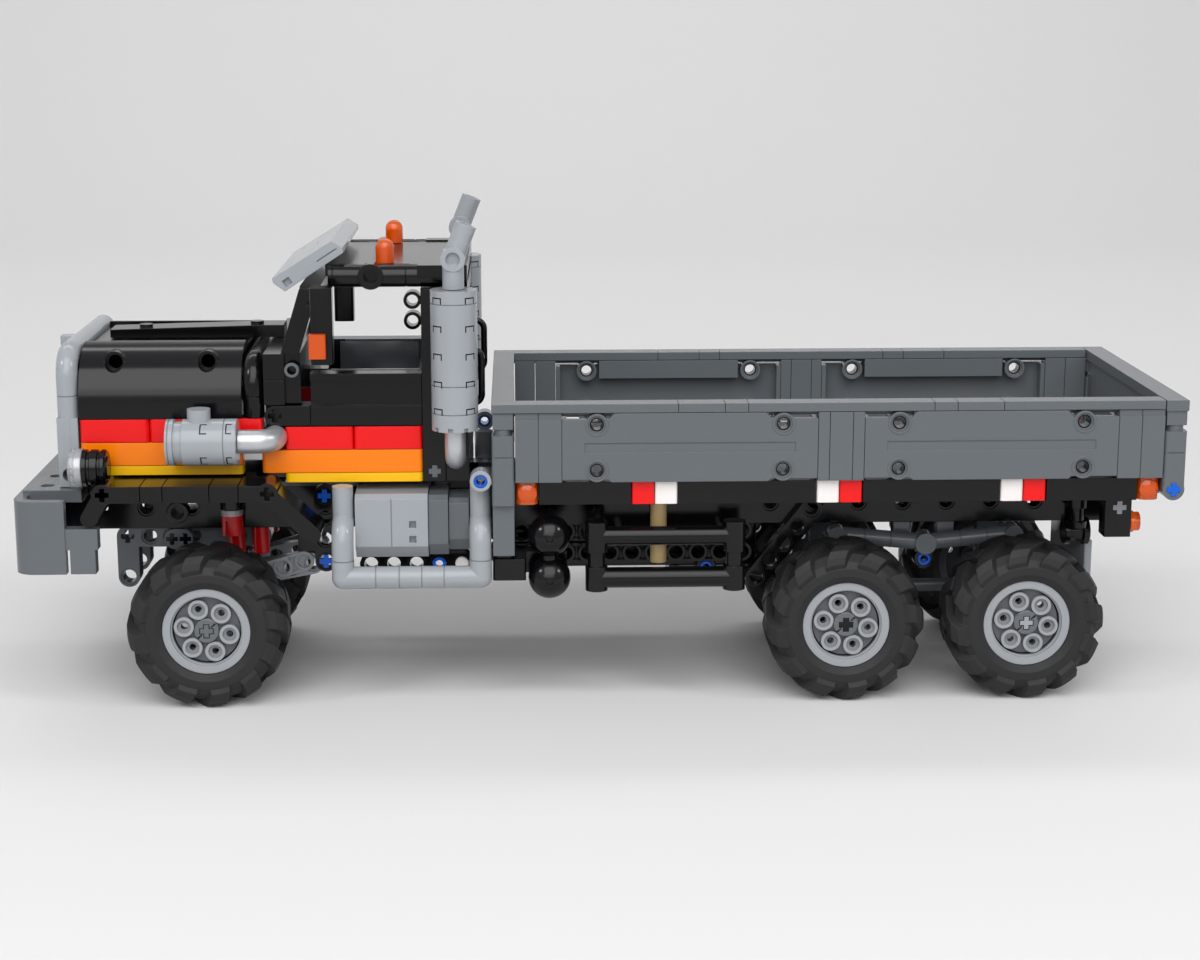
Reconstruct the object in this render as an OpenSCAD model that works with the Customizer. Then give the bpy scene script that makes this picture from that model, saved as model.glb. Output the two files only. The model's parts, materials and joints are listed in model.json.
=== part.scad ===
// Brick-built off-road truck: six wheels, steered front axle, dropping tailgate.
// The front is -X, the left side is -Y, up is +Z and the ground is z = 0.

/* [Grid] */
// Pitch of the pin-hole grid
pitch = 8; // [7.8:0.1:8.2]
// Radius of a pin hole
pin_r = 2.4; // [2.2:0.05:2.6]
// Radius of the step round a pin hole
pin_step_r = 3.1; // [2.8:0.05:3.4]
// Depth of the step round a pin hole
pin_step_d = 0.8; // [0.4:0.1:1.2]
// Thickness of a beam
beam_t = 7.6; // [7:0.1:7.9]
// Radius of a tube piece
tube_r = 3.7; // [3.2:0.1:3.9]
// Height of a plate or a tile
plate_h = 3.2; // [2.8:0.1:3.6]
// Gap between two pieces that sit against each other
seat = 0.2; // [0.1:0.05:0.3]
// Running clearance of a pin in its bore, on the radius
run = 0.05; // [0.02:0.01:0.1]

/* [Wheels] */
// Radius of a tyre over its lugs
tyre_r = 28; // [26:0.5:30]
// Width of a tyre
tyre_w = 26; // [22:1:26]
// Radius of the rim's lip
rim_r = 15.3; // [14:0.1:16]
// Width of the rim
rim_w = 22; // [18:1:22]
// Distance of the rim's outer lip from the centre line
lip_y = 54; // [54:0.5:58]
// Radius of the ring of six bosses
boss_ring = 8; // [7.5:0.1:8.5]
// Radius of a boss
boss_r = 3.5; // [3:0.1:3.8]
// Radius of a cross axle
axle_r = 2.4; // [2.2:0.05:2.5]
// Thickness of an axle's cross arm
axle_arm = 1.8; // [1.4:0.1:2.2]
// Lugs on each half of a tread
lug_count = 12; // [8:1:14]
// Thickness of a lug
lug_t = 5.4; // [4:0.1:6.5]
// Height of a lug
lug_h = 2.4; // [1.5:0.1:3]
// Slant of a lug in degrees
lug_slant = 35; // [20:1:45]
// Front axle to middle axle
wheelbase = 224; // [184:8:256]
// Middle axle to rear axle
bogie_gap = 64; // [60:1:80]

/* [Steering] */
// Distance of a kingpin from the centre line
king_y = 24; // [23:0.5:24.5]
// Radius of a kingpin
king_r = 2; // [1.6:0.1:2.2]
// Length of a steering arm
arm_len = 16; // [14:1:18]
// Radius of a track-rod eye
eye_r = 3.2; // [3:0.1:3.4]

/* [Bed] */
// Length of the bed
bed_len = 240; // [200:8:280]
// Width of the bed
bed_w = 120; // [112:2:136]
// Height of the side panels
panel_h = 24; // [24:1:32]
// Thickness of the outer skin of a panel
skin_t = 3; // [2:0.1:4]
// Height of the rim tile
rim_tile_h = 3.2; // [2.4:0.1:4.8]
// Height of the bed's underside
bed_z = 73.2; // [73.2:0.1:76]

/* [Cab] */
// Front axle to the front of the bed
cab_len = 100; // [100:4:132]
// Half width of cab and hood
cab_hw = 44; // [38:0.5:50]
// Thickness of a cab wall
wall_t = 8; // [6:0.5:9]
// Height of the window sills
sill_z = 117; // [112:0.5:122]
// Top of the cab's pillars
pillar_top = 146.4; // [142:0.1:152]
// Radius of an exhaust muffler
muffler_r = 8; // [6:0.1:8]
// Radius of an air filter
filter_r = 8; // [6:0.1:8]
// Highest point of the hood's curved panels
hood_top = 126; // [124:0.5:128]
// Outer radius of the hood's curved panels
hood_r = 20; // [18:0.5:22]
// Thickness of the hood's curved panels
hood_t = 3; // [2:0.1:4]
// Length of the hood
hood_len = 56; // [48:8:56]

/* [Hidden] */
$fn = 48;
// Lengthways: axles, bed, hood and cowl
front_x = -138;
mid_x = front_x + wheelbase;
rear_x = mid_x + bogie_gap;
bogie_x = (mid_x + rear_x) / 2;
bed_x0 = front_x + cab_len;
bed_x1 = bed_x0 + bed_len;
nose_x = front_x - 64;
hood_x0 = front_x - 42.4;
hood_x1 = hood_x0 + hood_len;
cowl_x0 = hood_x1 + 2 * tube_r + 2 * seat;
cowl_x1 = front_x + 34;
door_x1 = front_x + 76;
wall_x0 = front_x + 84;
wall_x1 = wall_x0 + pitch;
grille_x = front_x - 46.5;
stack_x = front_x + 87.5;
rail_x0 = front_x - 59.8;
rail_x1 = bed_x1 - 12;
guard_x0 = bed_x0 + 36;
guard_x1 = mid_x - tyre_r - 12;
// Crossways: rails, bed, cab and what hangs beside them
rail_y = 20;
rail_in = rail_y - beam_t / 2;
rail_out = rail_y + beam_t / 2;
bed_y = bed_w / 2;
bed_in = bed_y - 10;
stripe_in = cab_hw - wall_t;
hood_y = cab_hw - hood_r;
stack_y = cab_hw + muffler_r + 0.3;
filter_y = cab_hw + filter_r + 0.3;
lamp_y = cab_hw + 7;
tank_in = rail_out + 10.2;
// Heights
hub_z = tyre_r;
tyre_top = 2 * tyre_r;
rail_z0 = 58;
rail_z1 = bed_z - seat;
floor_z = bed_z + pitch;
panel_z0 = floor_z + seat;
panel_z1 = panel_z0 + panel_h;
rim_z = panel_z1 + rim_tile_h;
hinge_x = bed_x1 - pitch / 2;
hinge_z = bed_z + pitch / 2;
fender_z = 78.2;
hood_z = 81.8;
cab_z = 78.8;
belt_z = cab_z + plate_h + 2 * pitch + 4 * seat;
hood_belt_z = hood_z + plate_h + 2 * pitch + 3 * seat;
cowl_top = hood_top - 2;
roof_z = pillar_top + seat + 3.9;
grille_z0 = 77.7;
grille_top = hood_top - 2.5;
lamp_z = 86;
filter_z = 95;
muffler_z0 = 98.9;
muffler_z1 = 147.2;
// Bed sides: two long panels share what the posts and bricks leave
panel_l = (bed_len - 8 * pitch) / 2;
marker_gap = (bed_len - 14 * pitch) / 2;
// Tyre and rim
carcass_r = tyre_r - lug_h;
half_w = tyre_w / 2;
front_axle_len = lip_y - king_y - 3.6;
rear_axle_len = lip_y - 16;
// Width and depth of a seam between two pieces
seam = 0.3;

// Colours of the moulded pieces
c_black = [0.05, 0.05, 0.06];
c_dark = [0.36, 0.37, 0.39];
c_light = [0.62, 0.64, 0.66];
c_red = [0.72, 0.06, 0.05];
c_orange = [0.93, 0.42, 0.05];
c_yellow = [0.95, 0.78, 0.12];
c_amber = [0.95, 0.5, 0.08];
c_white = [0.93, 0.93, 0.91];
c_silver = [0.7, 0.71, 0.72];
c_tan = [0.83, 0.74, 0.55];
c_rubber = [0.09, 0.09, 0.1];
c_darkred = [0.4, 0.05, 0.06];
c_clear = [0.85, 0.88, 0.9];

// Drawings turned into the side view or the front view, and pieces on both sides
module both() { children(); mirror([0, 1, 0]) children(); }
module side_view(depth) { rotate([90, 0, 0]) linear_extrude(height = depth, center = true) children(); }
module front_view(len) { rotate([90, 0, 90]) linear_extrude(height = len, center = true) children(); }
module box(x0, x1, y0, y1, z0, z1) { translate([x0, y0, z0]) cube([x1 - x0, y1 - y0, z1 - z0]); }
module rod_x(x0, x1, r) { translate([x0, 0, 0]) rotate([0, 90, 0]) cylinder(r = r, h = x1 - x0); }
module rod_y(y0, y1, r) { translate([0, y0, 0]) rotate([-90, 0, 0]) cylinder(r = r, h = y1 - y0); }
module rod_z(z0, z1, r) { translate([0, 0, z0]) cylinder(r = r, h = z1 - z0); }
module rounded(l, w, r) {
  square([l - 2 * r, w], center = true);
  square([l, w - 2 * r], center = true);
  for (sx = [-1, 1], sy = [-1, 1]) translate([sx * (l / 2 - r), sy * (w / 2 - r)]) circle(r);
}
module slot2d(l, r) {
  translate([0, -r]) square([l, 2 * r]);
  circle(r);
  translate([l, 0]) circle(r);
}
module cross2d(r, arm) {
  intersection() {
    circle(r);
    union() {
      square([2 * r + 1, arm], center = true);
      square([arm, 2 * r + 1], center = true);
    }
  }
}
// A brick with rounded upright corners
module brick(x0, x1, y0, y1, z0, z1, r) {
  translate([(x0 + x1) / 2, (y0 + y1) / 2, z0]) linear_extrude(height = z1 - z0) rounded(x1 - x0, y1 - y0, r);
}
// A pin hole through a beam along Y, stepped at both faces
module pin_hole_y(y0, y1) {
  rod_y(y0 - 1, y1 + 1, pin_r);
  rod_y(y0 - 1, y0 + pin_step_d, pin_step_r);
  rod_y(y1 - pin_step_d, y1 + 1, pin_step_r);
}
// A cross-shaped axle hole along Y
module axle_hole_y(y0, y1) { translate([0, (y0 + y1) / 2, 0]) side_view(y1 - y0) cross2d(axle_r, axle_arm); }
// A liftarm from its first hole along +X, with holes along Y
module liftarm(holes, t) {
  difference() {
    side_view(t) slot2d((holes - 1) * pitch, pitch / 2 - 0.1);
    for (i = [0 : holes - 1]) translate([i * pitch, 0, 0]) pin_hole_y(-t / 2, t / 2);
  }
}
// A bent tube in the XY plane, with the centre of the bend at the origin
module bend(radius, r, angle) { rotate_extrude(angle = angle) translate([radius, 0]) circle(r); }
// The seam between two round pieces in line
module seam_x(x, r) {
  difference() {
    rod_x(x - seam / 2, x + seam / 2, r + 1);
    rod_x(x - 1, x + 1, r - seam);
  }
}
module seam_z(z, r) {
  difference() {
    rod_z(z - seam / 2, z + seam / 2, r + 1);
    rod_z(z - 1, z + 1, r - seam);
  }
}

// Chassis
module frame_rails() {
  color(c_black) {
    both() translate([0, rail_y, 0]) difference() {
      box(rail_x0, rail_x1, -beam_t / 2, beam_t / 2, rail_z0, rail_z1);
      for (x = [rail_x0 + beam_t / 2 : 2 * pitch : rail_x1 - pitch / 2])
        translate([x, 0, (rail_z0 + rail_z1) / 2]) pin_hole_y(-beam_t / 2, beam_t / 2);
    }
    // links that carry the middle axle
    both() translate([mid_x - 9.5, -(rail_out + seat + 2), rail_z0 + 6]) rotate([0, 128, 0]) liftarm(5, 4);
  }
}
module cross_members() {
  y = rail_in - seat;
  // middle of each member along the rails
  xs = [front_x - 22, front_x + 33, bed_x0 - 2, (bed_x0 + mid_x) / 2 - 14, mid_x - 26, bogie_x, rail_x1 - 20];
  color(c_black) {
    for (x = xs) box(x - 3.9, x + 3.9, -y, y, rail_z0 + 4, rail_z1 - 1);
    both() {
      box(front_x + 29, front_x + 37, 8.2, y, rail_z0 - 11, rail_z0 + 5);
      // outriggers of the tanks
      for (x = [front_x + 60, front_x + 80])
        box(x - 3.9, x + 3.9, rail_out + seat, tank_in - seat, rail_z0 + 3, rail_z1 - 3);
      // upright arm behind the front wheel
      translate([front_x + 40, -(rail_out + seat + 2), rail_z0 - 11.6]) rotate([0, -90, 0]) liftarm(4, 4);
      // beam under the tanks
      translate([front_x + 57, tank_in + 5, 48.8]) liftarm(5, beam_t);
      // bracket of the air tanks
      brick(bed_x0, bed_x0 + 11.5, bed_y - 24, bed_y - 5, 45.6, 53.2, 1);
      box(bed_x0 + 10, bed_x0 + 26, bed_y - 24, bed_y - 16 - seat, 45.6, 53.2);
    }
  }
}
module engine_block() {
  b = stripe_in - seat;
  t = hood_y - 0.4;
  half = [[b, bed_z], [b, hood_top - 14], [t, hood_top - 3.4], [t, hood_top - 2.2]];
  color(c_black) translate([(hood_x0 + hood_x1) / 2, 0, 0]) front_view(hood_x1 - hood_x0 - 1)
    polygon(concat(half, [for (i = [3 : -1 : 0]) [-half[i][0], half[i][1]]]));
}
module front_axle() {
  y1 = rail_in - seat;
  y0 = 8.4;
  arm_x = front_x - 32.4;
  arm_z = rail_z0 - 4.8;
  yoke_z = hub_z - 11.6;
  color(c_dark) difference() {
    union() {
      translate([front_x, 0, hub_z]) sphere(r = 9.5);
      translate([front_x, 0, hub_z]) rod_y(-15, 15, 4.2);
      both() {
        // yoke round the knuckle, with its kingpin
        box(front_x - 4, front_x + 4, 12, y1, yoke_z, arm_z);
        for (z = [yoke_z, hub_z + 7.6]) {
          box(front_x - 4, front_x + 4, 12, king_y, z, z + 4);
          translate([front_x, king_y, 0]) rod_z(z, z + 4, 4);
        }
        translate([front_x, king_y, 0]) rod_z(yoke_z, hub_z + 11.6, king_r);
        box(front_x + 3, front_x + 6.2, y0, y1, hub_z + 5, hub_z + 15);
        // arm that holds the axle, and its drop link
        translate([arm_x, (y0 + y1) / 2, arm_z]) side_view(y1 - y0) slot2d(6 * pitch, 3.9);
        translate([arm_x, (y0 + y1) / 2, arm_z - 15]) rotate([0, -90, 0]) side_view(y1 - y0) slot2d(15, 3.9);
      }
    }
    both() {
      for (i = [1, 2, 3, 5, 6]) translate([arm_x + i * pitch, 0, arm_z]) pin_hole_y(y0, y1);
      translate([arm_x, 0, arm_z]) axle_hole_y(y0 - 1, y1 + 1);
      translate([arm_x, 0, arm_z - 15]) pin_hole_y(y0, y1);
    }
  }
}
module front_links() {
  color(c_light) both() translate([front_x + 10.4, 12, hub_z + 10]) rotate([0, -10.4, 0]) liftarm(4, 7.2);
}
module shock_absorbers() {
  color(c_darkred) both() translate([front_x + 7, rail_out + seat + 3.8, 0]) difference() {
    union() {
      rod_z(tyre_top + 0.6, rail_z1 - 5, 3.8);
      rod_z(rail_z1 - 5.1, rail_z1 - 3, 3);
      rod_z(rail_z1 - 3.1, rail_z1 - 1, 3.6);
    }
    for (a = [0 : 90 : 270]) rotate(a + 20) box(2.6, 5, -0.8, 0.8, tyre_top, tyre_top + 6);
  }
}
module axle_housing(x) {
  difference() {
    union() {
      translate([x, 0, hub_z]) sphere(r = 9.5);
      translate([x, 0, hub_z]) rod_y(-28, 28, 4.4);
      both() box(x - 4, x + 4, 17, 22.4, hub_z, rail_z0 - 5);
    }
    both() translate([x, 0, hub_z]) rod_y(15, 30, axle_r + run);
  }
}
module rear_axles() {
  color(c_dark) {
    axle_housing(mid_x);
    axle_housing(rear_x);
    translate([0, 0, hub_z]) rod_x(mid_x + 9.5 + seat, rear_x - 9.5 - seat, axle_r);
  }
}
// Walking beam: two tubes that rise from the pivot to the axles
module bogie_beams() {
  y = rail_out + 2;
  z = rail_z0 - 7;
  half = bogie_gap / 2;
  rise = atan2(3, half);
  color(c_dark) both() {
    translate([bogie_x, y, z]) {
      for (s = [0, 180]) rotate([0, 0, s]) rotate([0, -rise, 0]) difference() {
        rod_x(0, half / cos(rise), 3);
        for (x = [0.4, 0.7]) seam_x(half * x, 3);
      }
      for (x = [-half, half]) translate([x, 0, 3]) rod_y(-3.2, 3.2, 3.4);
      rod_y(-3.4, 3.6, 3.9);
    }
    // pivot blocks under the rails
    for (dx = [-pitch, pitch])
      box(bogie_x + dx - 3, bogie_x + dx + 3, rail_out - 6.4, rail_out - 0.6, z - 2, rail_z0 - seat);
  }
}

// Front end
module bumper() {
  half = bed_y - 12;
  color(c_dark) difference() {
    union() {
      difference() {
        brick(nose_x, nose_x + 32, -bed_y, bed_y, 50.5, 76, 7);
        brick(nose_x + 4, nose_x + 30, -bed_y + 4, bed_y - 4, 49, 77, 4);
        box(nose_x + 18, nose_x + 40, -bed_y - 1, bed_y + 1, 49, 77);
      }
      box(nose_x + 2, nose_x + 22, -half, half, rail_z1 + seat, grille_z0 - seat);
      // two hooked pieces behind each corner
      both() box(nose_x + 16, nose_x + 29, bed_y - 5.6, bed_y - 0.4, 59, 66.3);
      both() box(nose_x + 19.4, nose_x + 28, bed_y - 5.6, bed_y - 0.4, 50.5, 59.1);
    }
    both() for (i = [1, 3, 5])
      translate([nose_x + 9, half * i / 6, 0]) rod_z(rail_z1 - 3, grille_z0 + 3, pin_r);
  }
}
module grille_frame() {
  y = cab_hw - tube_r;
  bend_z = grille_top - pitch;
  color(c_light) difference() {
    translate([grille_x, 0, 0]) {
      both() translate([0, y, 0]) {
        rod_z(grille_z0, bend_z, tube_r);
        translate([0, -pitch, bend_z]) rotate([90, 0, 90]) bend(pitch, tube_r, 90);
        box(-3.6, 3.6, -tube_r + seat, tube_r - seat, grille_z0, lamp_z + 16);
      }
      translate([0, 0, grille_top]) rod_y(-y + pitch, y - pitch, tube_r);
      // bare badge holder
      box(-9, 0, -3, 3, grille_top - tube_r, grille_top + 1);
    }
    both() translate([grille_x, y, grille_z0 + 4.3]) rod_y(-10, 10, pin_r);
    both() translate([grille_x, y, 0]) seam_z(bend_z - 6, tube_r);
  }
}
module grille_slats() {
  y = cab_hw - 2 * tube_r - seat / 2;
  top = grille_top - tube_r - 0.4;
  step = (y - 4.5) / 4;
  color(c_black) {
    translate([grille_x + 2, 0, 0]) front_view(2)
      polygon([[-y, grille_z0], [-y, top - 4.8], [5 - y, top], [y - 5, top], [y, top - 4.8], [y, grille_z0]]);
    for (i = [-4 : 4]) translate([grille_x, i * step, 0])
      box(-2, 1.5, -1.5, 1.5, grille_z0, abs(i) < 4 ? top : top - 3.4);
  }
}
module hood_side() {
  axis_z = hood_top - hood_r;
  hole_z = hood_top - 5.6;
  mid = (hood_x0 + hood_x1) / 2;
  holes = [mid - 2 * pitch, mid + 2 * pitch];
  difference() {
    union() {
      translate([mid, 0, 0]) front_view(hood_len) {
        translate([hood_y, axis_z]) intersection() {
          difference() {
            circle(hood_r, $fn = 96);
            circle(hood_r - hood_t, $fn = 96);
          }
          square(hood_r + 1);
        }
        translate([cab_hw - hood_t, hood_belt_z]) square([hood_t, axis_z - hood_belt_z]);
      }
      for (x = holes) translate([x, 0, hole_z]) rod_y(cab_hw - 12, cab_hw - 6.4, 3.9);
    }
    for (x = holes) translate([x, 0, hole_z]) {
      rod_y(cab_hw - 14, cab_hw + 1, pin_r);
      rod_y(cab_hw - 8.6, cab_hw + 1, pin_step_r);
    }
  }
}
module hood_panels() {
  arch_x = hood_x1 + tube_r + seat;
  arch_z = hood_top - 14;
  arch_y = cab_hw - tube_r;
  spine_x = hood_x0 + 5.4;
  spine_z = cowl_top + seat;
  crest_x = hood_x1 + 3.6;
  crest_z = hood_top + 2.6;
  spine = [[spine_x, spine_z], [spine_x, hood_top + 1.2], [crest_x, crest_z], [crest_x + 7.8, crest_z],
    [crest_x + 7.8, spine_z]];
  color(c_black) {
    both() hood_side();
    // spine along the top, rising to the rear
    side_view(1.5 * pitch) polygon(spine);
    for (dx = [12, 52]) translate([spine_x + dx, 0, hood_top]) rod_z(0, 2.1 + 1.4 * dx / hood_len, 2.4);
    // tube arch behind the hood
    translate([arch_x, 0, 0]) difference() {
      union() {
        both() translate([0, arch_y, 0]) rod_z(hood_belt_z, arch_z, tube_r);
        both() translate([0, arch_y - pitch, arch_z]) rotate([90, 0, 90]) bend(pitch, tube_r, 90);
        translate([0, 0, arch_z + pitch]) rod_y(pitch - arch_y, arch_y - pitch, tube_r);
      }
      both() translate([0, arch_y, 0]) seam_z(arch_z - 3, tube_r);
    }
  }
}
// One row of rounded bricks in a side stripe, as pairs of their ends
module stripe(spans, z, h) {
  both() for (s = spans) brick(s[0] + seat / 2, s[1] - seat / 2, stripe_in, cab_hw, z, z + h, 1.6);
}
module red_panels() {
  hood_mid = hood_x0 + 3 * pitch;
  cab_mid = front_x + 52;
  color(c_red) {
    stripe([[hood_x0, hood_mid], [hood_mid, cowl_x0 - 0.6]], hood_z + plate_h + pitch + 2 * seat, pitch);
    stripe([[front_x + 28, cab_mid], [cab_mid, door_x1]], cab_z + plate_h + pitch + 2 * seat, pitch);
  }
}
module orange_panels() {
  color(c_orange) {
    stripe([[hood_x0, hood_x1]], hood_z + plate_h + seat, pitch);
    stripe([[front_x + 20, door_x1]], cab_z + plate_h + seat, pitch);
  }
}
module yellow_tiles() {
  color(c_yellow) {
    stripe([[hood_x0 + pitch, hood_x1]], hood_z, plate_h);
    stripe([[front_x + 28, door_x1]], cab_z, plate_h);
  }
}
// Fender of tubes in line, with a turned-down piece at each end
module fenders() {
  y0 = cab_hw + seat;
  ends = [front_x - 32.8, front_x + 23.2];
  seams = [front_x - 20, front_x - 12.4, front_x + 3.5, front_x + 13.4];
  color(c_black) both() difference() {
    union() {
      translate([0, (y0 + bed_y) / 2, fender_z]) side_view(bed_y - y0) {
        translate([ends[0], 0]) slot2d(ends[1] - ends[0], 2.9);
        for (x = ends) translate([x, 0]) circle(3.7);
        translate([ends[0], 0]) rotate(-120) slot2d(9.5, 2.9);
        translate([ends[1], 0]) rotate(-44) slot2d(21, 2.9);
      }
      box(front_x - 30, front_x + 17, stripe_in + seat, cab_hw + 1, fender_z - 2.6, fender_z + 2.6);
    }
    for (x = ends) translate([x, 0, fender_z]) axle_hole_y(y0 - 1, bed_y + 1);
    for (x = seams) box(x - seam / 2, x + seam / 2, cab_hw + 1.2, bed_y + 1, fender_z - 4, fender_z + 4);
  }
}
module headlight_cases() {
  color(c_black) both() {
    translate([0, lamp_y, lamp_z]) difference() {
      rod_x(front_x - 40, front_x - 31.5, 3.9);
      seam_x(front_x - 36, 3.9);
    }
    translate([front_x - 35, 0, lamp_z]) rod_y(cab_hw + seat, lamp_y, 2.2);
  }
}
module headlight_lenses() {
  color(c_clear) both() translate([front_x - 44, lamp_y, lamp_z]) difference() {
    rod_x(0, 3.8, 6.8);
    rod_x(-1, 1.4, 5.8);
  }
}
module air_filters() {
  x0 = front_x - 11;
  x1 = front_x + 13;
  color(c_light) both() translate([0, filter_y, filter_z]) {
    difference() {
      rod_x(x0, x1, filter_r);
      for (x = [x0 + 0.9, x1 - 4.2]) seam_x(x, filter_r);
      // groove where two of the bricks meet
      difference() {
        rod_x(x0 + 2.6, x0 + 5.5, filter_r + 1);
        rod_x(x0 + 2, x0 + 6, filter_r - 0.8);
      }
    }
    translate([front_x, 0, 0]) rod_z(filter_r - 2, filter_r + 3.6, 4);
  }
}
module silver_pipes() {
  color(c_silver) both() {
    // intake elbow from the air filter into the cowl
    translate([0, filter_y, filter_z]) rod_x(front_x + 13.2, front_x + 19, 4.1);
    translate([front_x + 19, filter_y - 6, filter_z]) bend(6, 4.1, 90);
    translate([front_x + 25, 0, filter_z]) rod_y(cab_hw + seat, filter_y - 6, 4.1);
    // exhaust elbow below the muffler
    translate([stack_x, stack_y, 0]) rod_z(muffler_z0 - 5.4, muffler_z0 - 0.3, 3.65);
    translate([stack_x, stack_y - 6, muffler_z0 - 5.4]) rotate([0, 90, 0]) bend(6, 3.65, 90);
    translate([stack_x, 0, muffler_z0 - 11.4]) rod_y(cab_hw + seat, stack_y - 6, 3.65);
  }
}

// Cab
module cab_walls() {
  arm_x1 = front_x + 37.2;
  arm_z1 = belt_z + 7;
  step_x = front_x + 28.6;
  hose_y = cab_hw - 8;
  color(c_black) {
    // cowl in front of the driver, with an arm along each side
    difference() {
      union() {
        box(cowl_x0, cowl_x1, seat - stripe_in, stripe_in - seat, cab_z + 5.6, cowl_top);
        box(cowl_x0, step_x, -cab_hw, cab_hw, arm_z1 + 0.4, cowl_top);
        box(step_x - 1, cowl_x1, 3 - cab_hw, cab_hw - 3, arm_z1 + 0.4, cowl_top);
        box(cowl_x0, front_x + 27.8, -cab_hw, cab_hw, belt_z - pitch, belt_z - 0.4);
        both() translate([0, cab_hw - wall_t / 2 - 0.5, belt_z + 3.5]) side_view(wall_t + 1)
          translate([cowl_x0 + 3.5, 0]) {
            circle(3.5);
            translate([0, -3.5]) square([arm_x1 - cowl_x0 - 3.5, 7]);
          }
      }
      both() translate([cowl_x0 + 3.5, 0, belt_z + 3.5]) axle_hole_y(cab_hw - 5, cab_hw + 1);
      both() box(cowl_x0 - 1, step_x, cab_hw - seam, cab_hw + 1, sill_z - 2.2, sill_z - 2.2 + seam);
    }
    // doors under the windows: flush lower brick, recessed panel and flush rail
    both() {
      box(arm_x1 + seat, door_x1 - seat, stripe_in, cab_hw, belt_z, arm_z1);
      box(arm_x1 + seat, door_x1 - seat, stripe_in, cab_hw - 2, arm_z1 - 1, sill_z - 1);
      box(arm_x1 + seat, door_x1 - seat, stripe_in, cab_hw, sill_z - 2.6, sill_z);
    }
    // rear wall with its window
    difference() {
      union() {
        box(wall_x0, wall_x1, 3 - stripe_in, stripe_in - 3, bed_z, cab_z + 1);
        box(wall_x0, wall_x1, seat - cab_hw, cab_hw - seat, cab_z, pillar_top);
        // hoses behind the window posts
        both() translate([wall_x1 + 1.2, hose_y, 0]) {
          translate([0, 0, sill_z + 7]) rod_x(-3, 0, 1.2);
          translate([0, 0, sill_z + 3.7]) rotate([90, 0, 0]) bend(3.3, 1.2, 90);
          translate([3.3, 0, 0]) rod_z(sill_z - 8.7, sill_z + 3.7, 1.2);
          translate([0, 0, sill_z - 8.7]) rotate([-90, 0, 0]) bend(3.3, 1.2, 90);
          translate([0, 0, sill_z - 12]) rod_x(-3, 0, 1.2);
        }
      }
      box(wall_x0 - 1, wall_x1 + 1, 18 - cab_hw, cab_hw - 18, sill_z + 1, pillar_top - 6.4);
    }
  }
}
module cab_floor_seat() {
  seat_y = stripe_in - 6;
  color(c_dark) {
    box(front_x + 21.2, wall_x0 - seat, seat - stripe_in, stripe_in - seat, cab_z + 0.2, cab_z + 5.4);
    box(front_x + 54, front_x + 78, -seat_y, seat_y, bed_z, 104);
    side_view(2 * seat_y)
      polygon([[front_x + 70, 103], [front_x + 78, 103], [front_x + 83, 129], [front_x + 79, 129]]);
    // inner door panels
    both() box(front_x + 44, door_x1 - 1, stripe_in - 1.8, stripe_in - seat, cab_z + 5, sill_z + 0.2);
  }
}
module cab_pillars() {
  foot_z = cowl_top + seat;
  color(c_black) {
    both() translate([0, (stripe_in + cab_hw) / 2, 0]) side_view(wall_t)
      polygon([[front_x + 27.6, foot_z], [front_x + 34, foot_z],
        [front_x + 41, pillar_top], [front_x + 34.5, pillar_top]]);
    both() box(door_x1, wall_x0 - seat, stripe_in, cab_hw, cab_z, pillar_top);
    // windscreen header
    box(front_x + 34, front_x + 41, seat - stripe_in, stripe_in - seat, pillar_top - 3.4, pillar_top);
  }
}
module cab_roof() {
  x0 = front_x + 43;
  tube_y = cab_hw - 4;
  ring_x = front_x + 59;
  color(c_black) difference() {
    union() {
      box(x0, wall_x1, -stripe_in - 0.5, stripe_in + 0.5, roof_z - 0.6, roof_z + 3.4);
      both() translate([0, tube_y, roof_z]) rod_x(x0 + 1.4, wall_x1, 3.9);
      both() translate([ring_x, 0, roof_z]) rod_y(tube_y - 4.2, tube_y + 4.2, 4.4);
      // square rear corner of the roof edge
      both() box(wall_x0 - 9, wall_x1, tube_y - 3, cab_hw, roof_z - 0.4, roof_z + 3.9);
    }
    both() translate([ring_x, 0, roof_z]) rod_y(tube_y, tube_y + 6, pin_r);
    both() translate([0, tube_y, roof_z]) for (x = [ring_x - 13, ring_x + 12]) seam_x(x, 3.9);
    // notches along the edges of the roof plate
    both() for (x = [x0 + 4, ring_x + 6]) box(x, x + 7, stripe_in - 1.5, stripe_in, roof_z + 2.6, roof_z + 4);
  }
}
module sun_visor() {
  half = cab_hw - 4;
  x0 = front_x + 25;
  color(c_light) difference() {
    side_view(2 * half)
      polygon([[x0, pillar_top + 3.2], [x0 + 0.4, pillar_top + 1.6], [x0 + 4.4, pillar_top - 1.3],
        [x0 + 24.6, pillar_top + 12], [x0 + 24.4, pillar_top + 13.6], [x0 + 20.6, pillar_top + 16]]);
    // notch and slit in each end
    both() translate([x0 + 5.4, half, pillar_top + 1.2]) rotate([0, -33, 0]) box(-1.1, 1.7, -1.4, 1, -0.4, 2);
    both() translate([x0 + 19, half, pillar_top + 11]) rotate([0, -33, 0]) box(-4, 4, -0.6, 1, 0, 0.4);
  }
}
module mirrors() {
  color(c_black) both() {
    brick(front_x + 39, front_x + 46.5, cab_hw + 4, cab_hw + 12, 122, 148.2, 1.2);
    translate([front_x + 38.5, 0, 140]) rod_y(cab_hw + seat, cab_hw + 6, 2);
  }
}
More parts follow.
